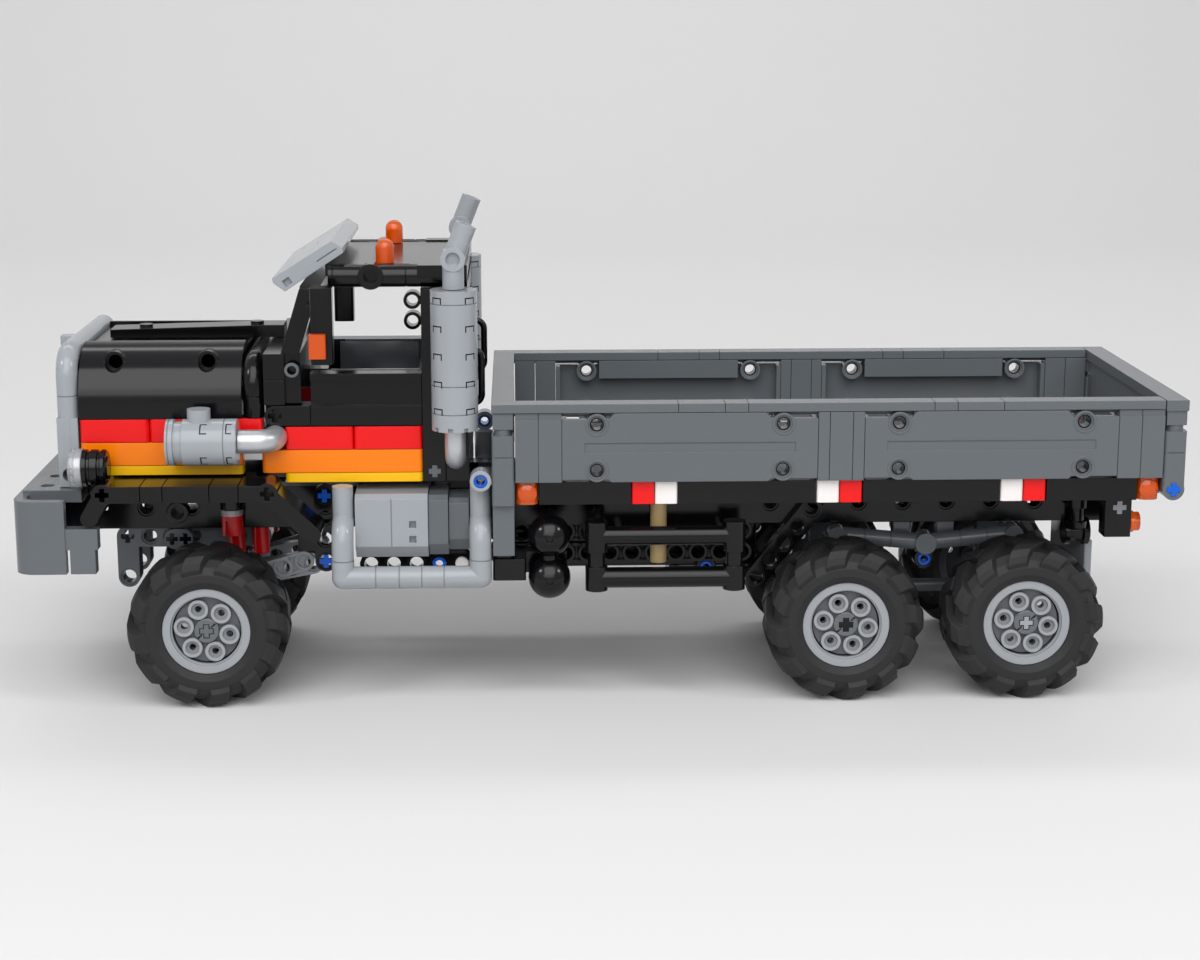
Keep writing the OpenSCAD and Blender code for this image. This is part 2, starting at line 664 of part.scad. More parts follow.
module amber_lamps() {
  beacon_z = roof_z + 3.4 + seat;
  color(c_amber) {
    // roof beacons
    both() translate([front_x + 63.4, cab_hw - 12, beacon_z]) {
      rod_z(0, 5.2, 3.2);
      translate([0, 0, 5.2]) sphere(r = 3.2);
    }
    // mirror indicators
    both() brick(front_x + 38.6, front_x + 44.4, cab_hw + 12.2, cab_hw + 15.8, 124.6, 132.9, 1);
    // bed corner markers
    both() for (x = [bed_x0 + pitch, bed_x1 - 2 * pitch])
      brick(x + seat, x + pitch - seat, bed_in, bed_y - 2, bed_z, floor_z, 3);
    // rear lamps
    both() translate([0, bed_y - 20, rail_z0 + 3.4]) {
      rod_x(bed_x1 - 13.6, bed_x1 - 12.4, 3.9);
      rod_x(bed_x1 - 12.5, bed_x1 - 10.2, 3.4);
    }
  }
}
module exhaust_mufflers() {
  color(c_light) both() translate([stack_x, stack_y, 0]) difference() {
    rod_z(muffler_z0, muffler_z1, muffler_r);
    for (z = [muffler_z1 - 4.5, muffler_z1 - 32.5, muffler_z0 + 6.1]) seam_z(z, muffler_r);
    // notches round the foot
    for (a = [20 : 40 : 340]) rotate(a)
      box(muffler_r - 1.2, muffler_r + 1, -0.8, 0.8, muffler_z0 - 1, muffler_z0 + 1.4);
  }
}
module exhaust_tips() {
  joint_z = muffler_z1 + 10.5;
  color(c_light) both() translate([stack_x, stack_y, 0]) {
    rod_z(muffler_z1 + seat, joint_z - 1.5, tube_r);
    translate([0, 0, joint_z]) difference() {
      union() {
        rod_y(-3.8, 3.8, 4.2);
        rotate([0, 22, 0]) rod_z(0, 12.4, tube_r);
      }
      rotate([0, 22, 0]) rod_z(8, 14, 2.4);
      rod_y(2.4, 5, pin_r);
    }
  }
}

// Side gear under the cab: the section of a tank, drawn smaller by an inset
function tank_section(inset) = let (y1 = bed_y - 8 - inset, z0 = 52.8 + inset, z1 = 75.8 - inset)
  [[tank_in, z0], [y1 - 4, z0], [y1, z0 + 4.6], [y1, z1 - 1.6], [y1 - 2, z1], [tank_in, z1]];
module tank_piece(x0, x1, inset) {
  translate([(x0 + x1) / 2, 0, 0]) front_view(x1 - x0) polygon(tank_section(inset));
}
module side_tanks() {
  x0 = front_x + 52.4;
  x1 = front_x + 77.6;
  color(c_light) both() difference() {
    tank_piece(x0, x1, 0);
    for (z = [59.9, 65.2]) box(x1 - 6.5, x1 - 4.1, bed_y - 10, bed_y - 7, z - 1.2, z + 1.2);
    box(x0 + 12.4, x0 + 12.4 + seam, bed_y - 8 - seam, bed_y, 50, 80);
  }
}
module tank_ends() {
  x0 = front_x + 77.8;
  color(c_dark) both() {
    tank_piece(x0, x0 + 6.8, 0.6);
    tank_piece(x0 + 7, x0 + 14, 2);
  }
}
// A bar on two elbows that come out from the rails
module tank_guards() {
  posts = [front_x + 48.2, front_x + 95.8];
  y = bed_y - 4;
  bar_z = 47.4;
  bend_z = 58.5;
  color(c_light) both() difference() {
    union() {
      for (x = posts) translate([x, y, 0]) {
        translate([0, 0, bar_z]) sphere(r = 3.9);
        rod_z(bar_z, bend_z - 4.6, 3.9);
        rod_z(bend_z - 5, bend_z, 3.8);
        translate([0, -pitch, bend_z]) rotate([90, 0, 90]) bend(pitch, 3.8, 90);
        translate([0, -y, bend_z + pitch]) rod_y(rail_out + seat, y - pitch, 3.2);
        translate([0, -6, 0]) rod_z(bend_z + pitch, 78.6, 3.6);
      }
      translate([0, y, bar_z]) rod_x(posts[0], posts[1], 3.9);
    }
    translate([0, y, bar_z]) for (dx = [11.4, 19.5, 27.3, 35]) seam_x(posts[0] + dx, 3.9);
    for (x = posts) translate([x, y, 0]) seam_z(bend_z - 4.8, 3.9);
  }
}

// Side gear under the bed
module air_tanks() {
  zs = [46, 61];
  color(c_black) both() translate([bed_x0 + 19.7, bed_y - 8, 0]) difference() {
    union() {
      for (z = zs) translate([0, 0, z]) sphere(r = 7.4);
      rod_z(zs[0], zs[1], 3);
      translate([0, 0, zs[0] + 2.4]) rod_y(-pitch, 0, 2.6);
    }
    for (z = zs) translate([0, 0, z]) rod_y(6, 9, 1.2);
  }
}
module side_guards() {
  y = bed_y - 5;
  low_z = 46.4;
  high_z = 61.3;
  color(c_black) both() translate([0, y, 0]) {
    translate([0, 0, low_z]) rod_x(guard_x0, guard_x1, 3.6);
    translate([0, 0, high_z]) rod_x(guard_x0, guard_x1, 3.3);
    for (x = [guard_x0, guard_x1]) translate([x, 0, 0]) {
      rod_z(low_z - 4.3, low_z + 4.3, 3.9);
      rod_z(low_z, high_z, 3);
      rod_z(high_z - 5.5, high_z + 5.2, 3.9);
    }
    // rods to the boxes under the bed
    for (x = [guard_x0 + 8, guard_x1 - 4]) translate([x, 0, high_z]) rod_y(-11.2, 0, 2.2);
  }
}
module under_bed_boxes() {
  x0 = guard_x0 + 3;
  x1 = guard_x1 + 5;
  in = rail_out + seat;
  out = bed_y - 16.4;
  color(c_black) both() translate([(x0 + x1) / 2, 0, 0]) front_view(x1 - x0)
    polygon([[in, 58], [in, bed_z - seat], [out, bed_z - seat], [out, 58], [out - 3.6, 55], [in + 3, 55]]);
}
module tan_posts() {
  color(c_tan) both() translate([guard_x0 + 0.46 * (guard_x1 - guard_x0), bed_y - 13.2, 0])
    rod_z(50, bed_z - seat, 2.9);
}

// Bed
module bed_floor() {
  lug_r = pitch / 2 - 0.6;
  y0 = bed_y - 17;
  y1 = bed_in - seat;
  color(c_dark) difference() {
    union() {
      box(bed_x0 + pitch, bed_x1 - pitch, -y1, y1, bed_z, floor_z);
      both() box(bed_x1 - pitch - 1, hinge_x, y0, y1, hinge_z - lug_r, hinge_z + lug_r);
      both() translate([hinge_x, 0, hinge_z]) rod_y(y0, y1, lug_r);
    }
    both() translate([hinge_x, 0, hinge_z]) rod_y(y0 - 1, bed_y, pin_r + run);
  }
}
// Three pairs of markers along each edge, and the beams between them
marker_x = [for (i = [-1 : 1]) bed_x0 + bed_len / 2 + i * marker_gap];
module edge_piece(x0, x1, r) {
  both() brick(x0 + seat / 2, x1 - seat / 2, bed_in, bed_y - 2, bed_z, floor_z, r);
}
module bed_beams() {
  starts = concat([bed_x0 + 2 * pitch], [for (x = marker_x) x + pitch]);
  ends = concat([for (x = marker_x) x - pitch], [bed_x1 - 2 * pitch]);
  color(c_black) for (i = [0 : 3]) edge_piece(starts[i], ends[i], 0.5);
}
module markers(starts) { for (x = starts) edge_piece(x, x + pitch, 1); }
module red_markers() { color(c_red) markers([marker_x[0] - pitch, marker_x[1], marker_x[2]]); }
module white_markers() { color(c_white) markers([marker_x[0], marker_x[1] - pitch, marker_x[2] - pitch]); }
// A long side panel: skin with low ends, end ribs, four pin bosses and an inner bar
module bed_panel(x) {
  l = panel_l - seat;
  y0 = bed_y - pitch;
  inset = 1.5 * pitch - seat / 2;
  holes = [inset, l - inset];
  rows = [panel_z0 + pitch / 2, panel_z1 - pitch / 2];
  low = panel_z0 + 0.9;
  high = panel_z1 - 2.2;
  mid_z = (panel_z0 + panel_z1) / 2;
  a = holes[0] + 4;
  b = holes[1] - 4;
  translate([x + seat / 2, 0, 0]) difference() {
    union() {
      box(0, l, bed_y - skin_t, bed_y, low, high);
      translate([0, bed_y - skin_t / 2, 0]) side_view(skin_t)
        polygon([[a, low], [a + 1, panel_z0], [b - 1, panel_z0], [b, low],
          [b, high], [b - 2, panel_z1], [a + 2, panel_z1], [a, high]]);
      for (rib = [0, l - 1.6]) box(rib, rib + 1.6, y0, bed_y - 1, low, high);
      for (px = holes, z = rows) translate([px, 0, z]) rod_y(y0, bed_y + seat, pitch / 2 - 0.1);
      box(a + 0.9, b - 0.9, y0, bed_y - 1, panel_z1 - 7, panel_z1);
    }
    for (px = holes, z = rows) translate([px, 0, z]) pin_hole_y(y0, bed_y + seat);
    box(holes[0] - 4.2, holes[1] + 4.2, bed_y - seam, bed_y + 1, mid_z - 1.65, mid_z + 1.65);
  }
}
// A brick between the panels; its top edge is set back by the given step
module bed_brick(x, w, step) {
  x0 = bed_x0 + x + seat / 2;
  x1 = bed_x0 + x + w - seat / 2;
  box(x0, x1, bed_y - pitch, bed_y, panel_z0, panel_z1 - 2.2);
  box(x0, x1, bed_y - pitch, bed_y - step, panel_z1 - 3, panel_z1);
}
module bed_side() {
  mid = 3 * pitch + panel_l;
  rear = mid + 2 * pitch + panel_l;
  ends = [0, 8 * pitch, 10 * pitch, 11 * pitch];
  cuts = concat(ends, [for (i = [3 : -1 : 1]) bed_len - ends[i]], [bed_len - pitch]);
  for (x = [pitch, 2 * pitch, rear, rear + pitch]) bed_brick(x, pitch, 0.6);
  for (b = [[0, 0.5], [0.5, 1], [1.5, 0.5]]) bed_brick(mid + b[0] * pitch, b[1] * pitch, 0);
  bed_panel(bed_x0 + 3 * pitch);
  bed_panel(bed_x0 + mid + 2 * pitch);
  // tiles along the rim
  for (i = [0 : len(cuts) - 2])
    box(bed_x0 + cuts[i], bed_x0 + cuts[i + 1] - seat, bed_y - pitch, bed_y, panel_z1 + seat, rim_z);
}
module bed_side_left() { color(c_dark) mirror([0, 1, 0]) bed_side(); }
module bed_side_right() { color(c_dark) bed_side(); }
// A corner post: lower block with a seam, round neck and a smaller block under the rim
module corner_post(x0, x1, z0) {
  top = panel_z1 - 7.7;
  cut = panel_z1 - 15.4;
  difference() {
    union() {
      brick(x0, x1, bed_y - pitch, bed_y, z0, top, 1.5);
      translate([(x0 + x1) / 2, bed_y - pitch / 2, 0]) rod_z(top - 1, panel_z1 - 5, 3.2);
      box(x0 + 0.4, x1 - 0.4, bed_y - pitch + 0.4, bed_y - 0.6, panel_z1 - 5.6, panel_z1);
    }
    difference() {
      box(x0 - 1, x1 + 1, bed_y - pitch - 1, bed_y + 1, cut, cut + seam);
      box(x0 + seam, x1 - seam, bed_y - pitch + seam, bed_y - seam, cut - 1, cut + 1);
    }
  }
}
module bed_headboard() {
  x1 = bed_x0 + pitch - seat;
  y1 = bed_y - pitch - seat;
  color(c_dark) {
    box(bed_x0 + 1, bed_x0 + 7, -y1 - 1.6, y1 + 1.6, bed_z, panel_z1);
    box(bed_x0, x1, -y1, y1, panel_z1 - 1, rim_z);
    both() {
      corner_post(bed_x0, x1, bed_z);
      // leg down to the bracket of the air tanks
      box(bed_x0 + 0.2, x1 - 0.2, bed_y - 24, bed_y - 2, 55.2, bed_z + 1);
      for (y = [bed_y - 23, bed_y - 12]) box(bed_x0 + 1.4, x1 - 1.4, y, y + 5, 53.4, 55.4);
    }
  }
}
module rear_lamp_blocks() {
  color(c_black) {
    both() box(bed_x1 - 23.2, bed_x1 - 13.9, bed_y - 24, bed_y - 16, tyre_top + 0.6, bed_z - seat);
    // spool beside the end of each rail
    both() translate([rail_x1 - 17.2, rail_out + seat + 3.8, 0]) {
      rod_z(tyre_top + 0.6, bed_z - seat, 2.6);
      rod_z(tyre_top + 0.6, tyre_top + 3, 3.6);
      rod_z(tyre_top + 8, bed_z - 4, 3.6);
    }
  }
}
module tailgate() {
  x0 = bed_x1 - pitch + seat;
  y1 = bed_y - pitch + seat;
  color(c_dark) {
    box(x0 + 1, bed_x1 - 1, -y1 - 1, y1 + 1, hinge_z + 5, panel_z1);
    box(x0, bed_x1, -bed_y, bed_y, panel_z1 - 0.5, rim_z);
    both() {
      corner_post(x0, bed_x1, hinge_z);
      translate([hinge_x, 0, hinge_z]) rod_y(y1, bed_y, pitch / 2 - seat);
      translate([hinge_x, 0, hinge_z]) rod_y(bed_y - 16, bed_y - 1, pin_r);
    }
  }
}

// Steering
module knuckle() {
  translate([front_x, king_y, hub_z]) difference() {
    union() {
      rod_z(-7.4, 7.4, 4);
      rod_y(0, 18, 4.4);
      translate([0, 0, -7.2]) linear_extrude(height = 4) slot2d(arm_len, eye_r);
    }
    rod_z(-9, 9, king_r + run);
    rod_y(3.4, 19, axle_r + run);
    translate([arm_len, 0, 0]) rod_z(-9, 0, king_r + run);
  }
}
module knuckle_left() { color(c_dark) mirror([0, 1, 0]) knuckle(); }
module knuckle_right() { color(c_dark) knuckle(); }
module tie_rod() {
  color(c_black) translate([front_x + arm_len, -king_y, hub_z - 11.6]) {
    rotate([0, 0, 90]) linear_extrude(height = 4) slot2d(2 * king_y, eye_r);
    for (y = [0, 2 * king_y]) translate([0, y, 0]) rod_z(0, 8.2, king_r);
  }
}

// Wheels, drawn with the axle along +Z and the outer lip at z = 0
function both_edges(half) = concat(half, [for (i = [len(half) - 1 : -1 : 0]) [half[i][0], -half[i][1]]]);
module wheel_rim(axle_len) {
  lip = [[rim_r - 2.7, 0], [rim_r, 0], [rim_r, -1.6], [rim_r - 1.7, -1.6]];
  back = [for (i = [3 : -1 : 0]) [lip[i][0], -rim_w - lip[i][1]]];
  bosses = [10 : 60 : 310];
  difference() {
    union() {
      rotate_extrude() polygon(concat(lip, back));
      rod_z(-5.5, -2.8, rim_r - 2.2);
      // step inside the lip
      difference() {
        rod_z(-5.5, -1.3, rim_r - 2.2);
        rod_z(-6, 0, rim_r - 3.3);
      }
      rod_z(-10, -0.5, 4.2);
      for (a = bosses) rotate(a) translate([boss_ring, 0, 0]) rod_z(-5.5, -0.8, boss_r);
    }
    for (a = bosses) rotate(a) translate([boss_ring, 0, 0]) {
      rod_z(-2, 1, pin_r);
      rod_z(-7, 1, 1.2);
    }
    // groove round the face, and the slot across the hub
    difference() {
      rod_z(-4.4, 0, rim_r - 3.3);
      rod_z(-5, 1, rim_r - 3.75);
    }
    rotate(40) box(-5, 5, -0.35, 0.35, -2, 0);
    translate([0, 0, -11]) linear_extrude(height = 12) cross2d(axle_r + run, axle_arm + 2 * run);
  }
  translate([0, 0, -axle_len]) linear_extrude(height = axle_len - 0.9) cross2d(axle_r, axle_arm);
}
// The lugs of one half of the tread, as slanted bars to be cut by the tread's section
module lug_bars() {
  l = (half_w + 3) / cos(lug_slant);
  for (i = [0 : lug_count - 1]) rotate(i * 360 / lug_count) translate([rim_r + 3, 0, tyre_w / 4])
    rotate([lug_slant, 0, 0]) translate([0, -lug_t / 2, -l / 2]) cube([tyre_r, lug_t, l]);
}
module tyre() {
  bead = rim_w / 2 - 1.7;
  carcass = [[rim_r - 1.6, bead], [rim_r + 0.15, bead], [rim_r + 0.15, half_w - 1.6],
    [rim_r + 2.6, half_w - 0.5], [tyre_r - 7.4, half_w - 0.6], [tyre_r - 5, half_w - 1.7],
    [tyre_r - 2.6, half_w - 4.4], [carcass_r, half_w - 7]];
  tread = [[tyre_r - 8, half_w - 2.5], [tyre_r - 7.6, half_w - 0.9], [tyre_r - 5.4, half_w],
    [tyre_r - 3, half_w - 0.5], [tyre_r - 0.9, half_w - 2.2], [tyre_r, half_w - 5]];
  inner = [[carcass_r - 1.5, -half_w + 6], [carcass_r - 1.5, half_w - 6]];
  translate([0, 0, -rim_w / 2]) {
    rotate_extrude() polygon(both_edges(carcass));
    intersection() {
      rotate_extrude() polygon(concat(both_edges(tread), inner));
      union() {
        lug_bars();
        rotate(180 / lug_count) mirror([0, 0, 1]) lug_bars();
      }
    }
  }
}
module place_wheel(x, side) {
  if (side > 0) translate([x, lip_y, hub_z]) rotate([-90, 0, 0]) children();
  else mirror([0, 1, 0]) translate([x, lip_y, hub_z]) rotate([-90, 0, 0]) children();
}
module rim_front_left() { color(c_light) place_wheel(front_x, -1) wheel_rim(front_axle_len); }
module rim_front_right() { color(c_light) place_wheel(front_x, 1) wheel_rim(front_axle_len); }
module rim_mid_left() { color(c_light) place_wheel(mid_x, -1) wheel_rim(rear_axle_len); }
module rim_mid_right() { color(c_light) place_wheel(mid_x, 1) wheel_rim(rear_axle_len); }
module rim_rear_left() { color(c_light) place_wheel(rear_x, -1) wheel_rim(rear_axle_len); }
module rim_rear_right() { color(c_light) place_wheel(rear_x, 1) wheel_rim(rear_axle_len); }
module tyre_front_left() { color(c_rubber) place_wheel(front_x, -1) tyre(); }
module tyre_front_right() { color(c_rubber) place_wheel(front_x, 1) tyre(); }
module tyre_mid_left() { color(c_rubber) place_wheel(mid_x, -1) tyre(); }
module tyre_mid_right() { color(c_rubber) place_wheel(mid_x, 1) tyre(); }
module tyre_rear_left() { color(c_rubber) place_wheel(rear_x, -1) tyre(); }
module tyre_rear_right() { color(c_rubber) place_wheel(rear_x, 1) tyre(); }

frame_rails();
cross_members();
engine_block();
front_axle();
front_links();
shock_absorbers();
rear_axles();
bogie_beams();
bumper();
grille_frame();
grille_slats();
hood_panels();
red_panels();
orange_panels();
yellow_tiles();
fenders();
headlight_cases();
headlight_lenses();
air_filters();
silver_pipes();
cab_walls();
cab_floor_seat();
cab_pillars();
cab_roof();
sun_visor();
mirrors();
amber_lamps();
exhaust_mufflers();
exhaust_tips();
side_tanks();
tank_ends();
tank_guards();
air_tanks();
side_guards();
under_bed_boxes();
tan_posts();
bed_floor();
bed_beams();
red_markers();
white_markers();
bed_side_left();
bed_side_right();
bed_headboard();
rear_lamp_blocks();
tailgate();
knuckle_left();
knuckle_right();
tie_rod();
rim_front_left();
rim_front_right();
rim_mid_left();
rim_mid_right();
rim_rear_left();
rim_rear_right();
tyre_front_left();
tyre_front_right();
tyre_mid_left();
tyre_mid_right();
tyre_rear_left();
tyre_rear_right();
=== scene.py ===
# %% [markdown]
# # A brick-built off-road truck
# The CAD frame already holds the toy's main pieces at their real size. This script
# gives those pieces their finish, adds the pin ends, lamp dishes and half-hidden drive
# pieces that the CAD model leaves out, and sets up a plain studio around it.

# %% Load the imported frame
import json
from math import cos, pi, radians, sin

import bmesh
import bpy
from mathutils import Matrix, Vector


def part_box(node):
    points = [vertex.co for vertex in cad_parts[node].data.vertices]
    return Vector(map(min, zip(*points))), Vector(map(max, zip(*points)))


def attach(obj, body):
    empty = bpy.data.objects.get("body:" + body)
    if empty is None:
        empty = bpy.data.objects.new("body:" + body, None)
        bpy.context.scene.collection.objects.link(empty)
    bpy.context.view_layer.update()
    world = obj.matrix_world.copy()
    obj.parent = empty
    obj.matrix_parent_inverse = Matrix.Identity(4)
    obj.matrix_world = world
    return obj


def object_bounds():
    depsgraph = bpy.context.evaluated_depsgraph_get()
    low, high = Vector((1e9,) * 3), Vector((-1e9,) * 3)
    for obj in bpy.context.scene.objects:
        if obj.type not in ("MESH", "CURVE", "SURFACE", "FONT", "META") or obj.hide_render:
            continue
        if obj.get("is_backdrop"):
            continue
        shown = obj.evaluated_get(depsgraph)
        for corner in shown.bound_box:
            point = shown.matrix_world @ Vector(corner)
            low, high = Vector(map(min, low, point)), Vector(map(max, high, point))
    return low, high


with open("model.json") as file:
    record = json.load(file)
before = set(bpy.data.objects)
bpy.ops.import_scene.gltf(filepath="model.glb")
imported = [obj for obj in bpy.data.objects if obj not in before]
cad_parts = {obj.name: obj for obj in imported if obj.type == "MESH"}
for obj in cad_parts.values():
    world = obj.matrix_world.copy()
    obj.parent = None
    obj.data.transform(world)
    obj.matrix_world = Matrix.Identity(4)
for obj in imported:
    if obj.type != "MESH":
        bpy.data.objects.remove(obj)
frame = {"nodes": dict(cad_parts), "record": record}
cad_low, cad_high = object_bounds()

MM = 0.001
print("CAD box", [round(v, 4) for v in cad_high - cad_low])

# %% [markdown]
# Colours are written as the eye reads them on a screen, from 0 to 255.
# Blender's sockets want linear light, so one helper turns the first into the second.

# %% A colour helper
def screen_colour(red, green, blue):
    def linear(value):
        value /= 255
        return value / 12.92 if value <= 0.04045 else ((value + 0.055) / 1.055) ** 2.4
    return (linear(red), linear(green), linear(blue), 1.0)


print("middle grey in linear light", round(screen_colour(128, 128, 128)[0], 3))

# %% [markdown]
# Moulded plastic is never one flat colour: the melt leaves faint clouds in the tint,
# handling leaves patches that shine less and hairline scratches, and the steel mould
# leaves a fine skin. One shader node group makes all of these, so every plastic on the
# truck ages in the same way, and each material places the group with its own values.

# %% The moulded skin as a node group
def new_group(name, inputs, outputs):
    group = bpy.data.node_groups.new(name, "ShaderNodeTree")
    for label, kind, value in inputs:
        socket = group.interface.new_socket(name=label, in_out="INPUT", socket_type=kind)
        socket.default_value = value
    for label, kind in outputs:
        group.interface.new_socket(name=label, in_out="OUTPUT", socket_type=kind)
    start = group.nodes.new("NodeGroupInput")
    end = group.nodes.new("NodeGroupOutput")
    return group, start, end


def noise(tree, vector, scale, detail):
    node = tree.nodes.new("ShaderNodeTexNoise")
    node.inputs["Scale"].default_value = scale
    node.inputs["Detail"].default_value = detail
    tree.links.new(vector, node.inputs["Vector"])
    return node.outputs["Fac"]


def maths(tree, operation, *values):
    node = tree.nodes.new("ShaderNodeMath")
    node.operation = operation
    for socket, value in zip(node.inputs, values):
        if isinstance(value, (int, float)):
            socket.default_value = value
        else:
            tree.links.new(value, socket)
    return node.outputs[0]


def remap(tree, value, low, high, new_low, new_high):
    node = tree.nodes.new("ShaderNodeMapRange")
    for label, number in zip(("From Min", "From Max", "To Min", "To Max"), (low, high, new_low, new_high)):
        node.inputs[label].default_value = number
    tree.links.new(value, node.inputs["Value"])
    return node.outputs["Result"]


CLOUD_SCALE, PATCH_SCALE, SKIN_SCALE, HAIRLINE_SCALE = 35, 160, 2200, 1500
HAIRLINE_TURN, HAIRLINE_STRETCH = (0.4, 0.7, 0.3), (1.0, 0.06, 1.0)


def build_moulded_skin():
    group, start, end = new_group(
        "moulded skin",
        [("Colour", "NodeSocketColor", (0.5, 0.5, 0.5, 1)), ("Clouds", "NodeSocketFloat", 0.06),
         ("Roughness", "NodeSocketFloat", 0.2), ("Wear", "NodeSocketFloat", 0.08)],
        [("Colour", "NodeSocketColor"), ("Roughness", "NodeSocketFloat"), ("Height", "NodeSocketFloat")])
    place = group.nodes.new("ShaderNodeTexCoord").outputs["Object"]
    turn = group.nodes.new("ShaderNodeMapping")
    turn.inputs["Rotation"].default_value = HAIRLINE_TURN
    turn.inputs["Scale"].default_value = HAIRLINE_STRETCH
    group.links.new(place, turn.inputs["Vector"])
    clouds = noise(group, place, CLOUD_SCALE, 3)
    handling = noise(group, place, PATCH_SCALE, 4)
    skin = noise(group, place, SKIN_SCALE, 2)
    streaks = noise(group, turn.outputs["Vector"], HAIRLINE_SCALE, 1)
    hairlines = remap(group, streaks, 0.66, 0.72, 0.0, 0.9)
    shade = maths(group, "SUBTRACT", clouds, 0.5)
    shade = maths(group, "MULTIPLY_ADD", shade, start.outputs["Clouds"], 1.0)
    tint = group.nodes.new("ShaderNodeHueSaturation")
    group.links.new(shade, tint.inputs["Value"])
    group.links.new(start.outputs["Colour"], tint.inputs["Color"])
    group.links.new(tint.outputs["Color"], end.inputs["Colour"])
    patches = maths(group, "MULTIPLY", maths(group, "ADD", handling, hairlines), start.outputs["Wear"])
    group.links.new(maths(group, "ADD", patches, start.outputs["Roughness"]), end.inputs["Roughness"])
    group.links.new(skin, end.inputs["Height"])
    return group


moulded_skin = build_moulded_skin()
print("node group", moulded_skin.name)

# %% [markdown]
# Each plastic is a Principled shader with the skin group in front of it.
# Real moulded edges are rounded by a fraction of a millimetre, and that thin
# bright line is what makes bricks look like bricks, so a Bevel node softens the
# edges in the shading before the skin's bump is added.

# %% The plastics
SKIN_DEPTH = 0.1
EDGE_SAMPLES = 4
PLASTIC_IOR = 1.53


def plastic(name, colour, roughness=0.16, clouds=0.08, wear=0.04, edge=0.35, bump=0.012,
            gloss=0.28, metallic=0.0, see_through=0.0):
    material = bpy.data.materials.new(name)
    material.use_nodes = True
    tree = material.node_tree
    shader = tree.nodes["Principled BSDF"]
    skin = tree.nodes.new("ShaderNodeGroup")
    skin.name = "skin"
    skin.node_tree = moulded_skin
    skin.inputs["Colour"].default_value = screen_colour(*colour)
    skin.inputs["Clouds"].default_value = clouds
    skin.inputs["Roughness"].default_value = roughness
    skin.inputs["Wear"].default_value = wear
    tree.links.new(skin.outputs["Colour"], shader.inputs["Base Color"])
    tree.links.new(skin.outputs["Roughness"], shader.inputs["Roughness"])
    rounded = tree.nodes.new("ShaderNodeBevel")
    rounded.samples = EDGE_SAMPLES
    rounded.inputs["Radius"].default_value = edge * MM
    relief = tree.nodes.new("ShaderNodeBump")
    relief.inputs["Strength"].default_value = bump
    relief.inputs["Distance"].default_value = SKIN_DEPTH * MM
    tree.links.new(skin.outputs["Height"], relief.inputs["Height"])
    tree.links.new(rounded.outputs["Normal"], relief.inputs["Normal"])
    tree.links.new(relief.outputs["Normal"], shader.inputs["Normal"])
    shader.inputs["Metallic"].default_value = metallic
    shader.inputs["Transmission Weight"].default_value = see_through
    shader.inputs["Specular IOR Level"].default_value = gloss
    shader.inputs["IOR"].default_value = PLASTIC_IOR
    return material


finishes = {
    "black_plastic": plastic("black plastic", (9, 9, 11), roughness=0.14, gloss=0.28),
    "dark_grey_plastic": plastic("dark grey plastic", (95, 100, 104), roughness=0.2, gloss=0.36),
    "light_grey_plastic": plastic("light grey plastic", (152, 157, 162), roughness=0.16, gloss=0.4),
    "red_plastic": plastic("red plastic", (232, 16, 18), roughness=0.18),
    "orange_plastic": plastic("orange plastic", (252, 128, 2), roughness=0.18),
    "yellow_plastic": plastic("yellow plastic", (250, 190, 0), roughness=0.18),
    "amber_clear": plastic("amber see-through plastic", (255, 108, 0), roughness=0.06, gloss=0.5,
                           see_through=0.55),
    "clear_lens": plastic("clear lens plastic", (240, 243, 245), roughness=0.05, gloss=0.5,
                          see_through=0.85),
    "white_plastic": plastic("white plastic", (236, 231, 228)),
    "silver_plastic": plastic("silver lacquer", (190, 192, 195), roughness=0.3, metallic=0.6),
    "tan_plastic": plastic("tan plastic", (190, 164, 116)),
    "dark_red_plastic": plastic("shock absorber red plastic", (186, 12, 20)),
    "tyre_rubber": plastic("tyre rubber", (36, 36, 37), roughness=0.42, clouds=0.3, wear=0.25, bump=0.3),
    "blue_plastic": plastic("blue pin plastic", (8, 92, 208), roughness=0.2),
    "amber_core": plastic("amber core", (204, 70, 0), roughness=0.3),
}
print("finishes", len(finishes))

# %% [markdown]
# The wheel's face lies almost three millimetres behind its lip, and on the real toy the shade in that recess
# makes the floor read as a darker grey. A lamp could do it with a deep shadow, but soft light fills it, so
# that shade is painted: the wheel's plastic is darkened by how far a point lies in from the lip, read from
# the Object coordinates. The painted shade turns with the wheel.

# %% The wheels' plastic with painted recess shade
WHEEL_LIP = 54.0
FACE_DEPTH = 2.7
FACE_SHADE_BLEND = 1.2
RECESS_SHADE_COLOUR = (98, 101, 106)


def blend_colours(tree, first, second, factor):
    blend = tree.nodes.new("ShaderNodeMix")
    blend.data_type = "RGBA"
    blend.inputs["A"].default_value = first
    blend.inputs["B"].default_value = second
    tree.links.new(factor, blend.inputs["Factor"])
    return blend.outputs["Result"]


def wheel_plastic_with_painted_shade():
    material = plastic("wheel plastic with painted recess shade", (152, 156, 160), roughness=0.2)
    tree = material.node_tree
    skin = tree.nodes["skin"]
    place = tree.nodes.new("ShaderNodeSeparateXYZ")
    tree.links.new(tree.nodes.new("ShaderNodeTexCoord").outputs["Object"], place.inputs["Vector"])
    outward = maths(tree, "ABSOLUTE", place.outputs["Y"])
    floor_y = (WHEEL_LIP - FACE_DEPTH) * MM
    depth = remap(tree, outward, floor_y, floor_y + FACE_SHADE_BLEND * MM, 0.0, 1.0)
    lip_colour = skin.inputs["Colour"].default_value
    # painted shade: the recessed face floor is coloured darker grey than the lip
    tint = blend_colours(tree, screen_colour(*RECESS_SHADE_COLOUR), lip_colour, depth)
    tree.links.new(tint, skin.inputs["Colour"])
    return material


